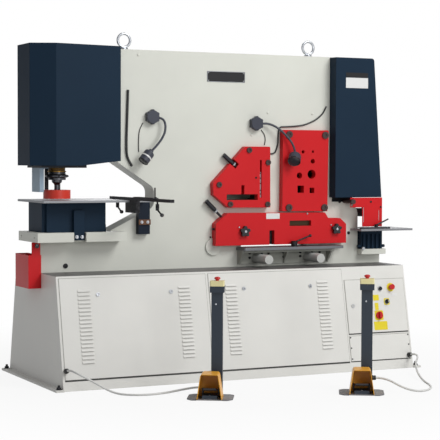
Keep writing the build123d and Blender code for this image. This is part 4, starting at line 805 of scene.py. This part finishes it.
# Shear table and its bracket: a table of ground steel, with lines along it, on a welded bracket with ten bolts.
# Below it stand two round arms in light grey enamel, and a squaring lever turns on a boss above it.

ground_steel = ground("ground_table_steel", "#7c7e82", 0.44, line_mm=6, along=(0.06, 1.0, 1.0))
dress("shear_table", ground_steel)
dress("support_arms", enamel("light_grey_enamel", "#b9bab6", 0.42))

bracket_bolts = bmesh.new()
for x, z in ((238, 836), (238, 804), (338, 834), (392, 832), (516, 837), (517, 804), (656, 834), (656, 805),
             (755, 831), (820, 830)):
    turned(bracket_bolts, ((8.5, 0.2), (9, 1), (9, 8), (8, 9.5), (4.5, 9.5), (4.4, 5), (0.3, 5)),
           spot((x, -100, z)), 20)
piece("bracket_bolts", bracket_bolts, black_oxide, "machine")


# Notcher: a tool-steel punch over a ribbed navy die, a table with a dark fence, and a red guard of sheet steel
# that slides up on a stud. A zinc strip lies behind each of the guard's slots.

dress("notch_guard", red_enamel)
notch_steel = enamel("ground_notch_table", "#86868a", 0.4, specular=0.5)
dress("notch_table", second_colour(notch_steel, "Z", 1.0005, "#2c2e33"))

guard_face = -190
guard_back = -187
guard_strips = bmesh.new()
plate(guard_strips, 14, 118, 1.5, spot((1144.5, guard_back, 1105)), 2)
plate(guard_strips, 14, 83, 1.5, spot((1278.5, guard_back, 1100.5)), 2)
piece("guard_strips", guard_strips, zinc, "guard")
guard_fasteners = bmesh.new()
turned(guard_fasteners, ((8, 0.2), (8, 3), (6, 4.5), (2, 4.8)), spot((1207, guard_face, 1201)), 20)
turned(guard_fasteners, small_screw, spot((1292, guard_face, 1161)), 20)
piece("guard_fasteners", guard_fasteners, black_oxide, "guard")
notch_nut = bmesh.new()
turned(notch_nut, ((12, 0.2), (13, 1), (13, 10), (12, 11.5)), spot((1172, -140, 851)), 6)
piece("notch_bolster_nut", notch_nut, zinc, "machine")


# Work lamps: a lobed magnetic foot, a flexible neck and a round slate-grey head with a tinted lens in a black
# rim, and a white collar on the left one. Ribbed black conduits carry their wires up the frame.

def ribbed(name, colour, every_mm=9.0, roughness=0.45):
    """A ribbed plastic sleeve, its rings drawn coarser than the real ones, which would not show."""
    material, shader = surface(name, colour, roughness, ior=1.53)
    tree = material.node_tree
    place = add_node(tree, "ShaderNodeTexCoord")
    rings = add_node(tree, "ShaderNodeTexWave", {"Scale": 300 / every_mm, "Distortion": 0.0},
                     {"Vector": (place, "Object")}, bands_direction="Z")
    emboss(tree, shader, rings, 0.6, 0.001)
    return material


dress("work_lamps", enamel("slate_grey_enamel", "#3a3d48", 0.38, edge_mm=3.0))
dress("lamp_wiring", ribbed("ribbed_black_conduit", "#1d1d1f"))

# Tinted lens: dark glass over an unlit lamp, which shows as a deep grey with one clear highlight
lens_glass, lens_shader = surface("tinted_lens_glass", "#34363c", 0.12, ior=1.5)
tree = lens_glass.node_tree
emboss(tree, lens_shader, noise(tree, 260.0, 2.0), 0.15, 0.001)

left_lamp_end = (-575, -160, 1552)
left_lamp_aim = (-0.66, -0.12, -0.74)
lenses = bmesh.new()
rims = bmesh.new()
for end, lamp_aim, radius, length in ((left_lamp_end, left_lamp_aim, 37, 84),
                                      ((566, -178, 1535), (-0.45, -0.62, -0.64), 46, 62)):
    way = Vector(lamp_aim).normalized()
    mouth = Vector(end) + way * (length - 12)
    mouth_spot = spot(mouth, way, (0, 0, 1))
    turned(lenses, ((radius - 7, 0.3), (radius - 7, 2.5), (radius * 0.5, 4.5), (3, 5.2)), mouth_spot, 32)
    turned(rims, ((radius - 6, 0.2), (radius + 1.2, 0.2), (radius + 1.2, 4), (radius - 1, 6), (radius - 6, 4)),
           mouth_spot, 32, ring_shaped=True)
piece("lamp_lenses", lenses, lens_glass, "machine")
piece("lamp_rims", rims, button_plastic, "machine")
collar = bmesh.new()
way = Vector(left_lamp_aim).normalized()
turned(collar, ((37.3, 0), (38.6, 0.6), (38.6, 10.4), (37.3, 11)),
       spot(Vector(left_lamp_end) + way * 30, way), 32, ring_shaped=True)
piece("lamp_collar", collar, white_sheet, "machine")


# Pedal stations: each is a steel floor plate with a post, a tread under a yellow hood, and a stop button in a
# pale box on top, at the end of its own floor cord. A black gasket lies under each box.

stand_enamel = enamel("station_enamel", "#2c3540", 0.45)
dress("pedal_stands", second_colour(stand_enamel, "Z", 0.0092, "#77777a", below=True))
hood_enamel = enamel("hood_yellow_enamel", "#e2a230", 0.36)
dress("station_housings", second_colour(hood_enamel, "Z", 0.25, "#e5dba5"))
tread_plastic = moulded("tread_black_polyamide", "#26262a", 0.5)
for node in ("left_pedal", "right_pedal"):
    dress(node, tread_plastic)

gaskets = bmesh.new()
station_screws = bmesh.new()
for station in stations:
    plate(gaskets, 84, 62, 3.4, station @ spot((35, 75, 702), *upward), 6, 0.4)
    for screw_spot in (spot((28, 49.9, 592)), spot((0, -86, 31), (0, -0.3, 1), (0, 1, 0))):
        turned(station_screws, ((6, 0.1), (5.6, 1.6), (3.4, 3), (1, 3.3)), station @ screw_spot, 14)
piece("station_gaskets", gaskets, black_rubber_and_shade, "machine")
piece("station_screws", station_screws, zinc, "machine")
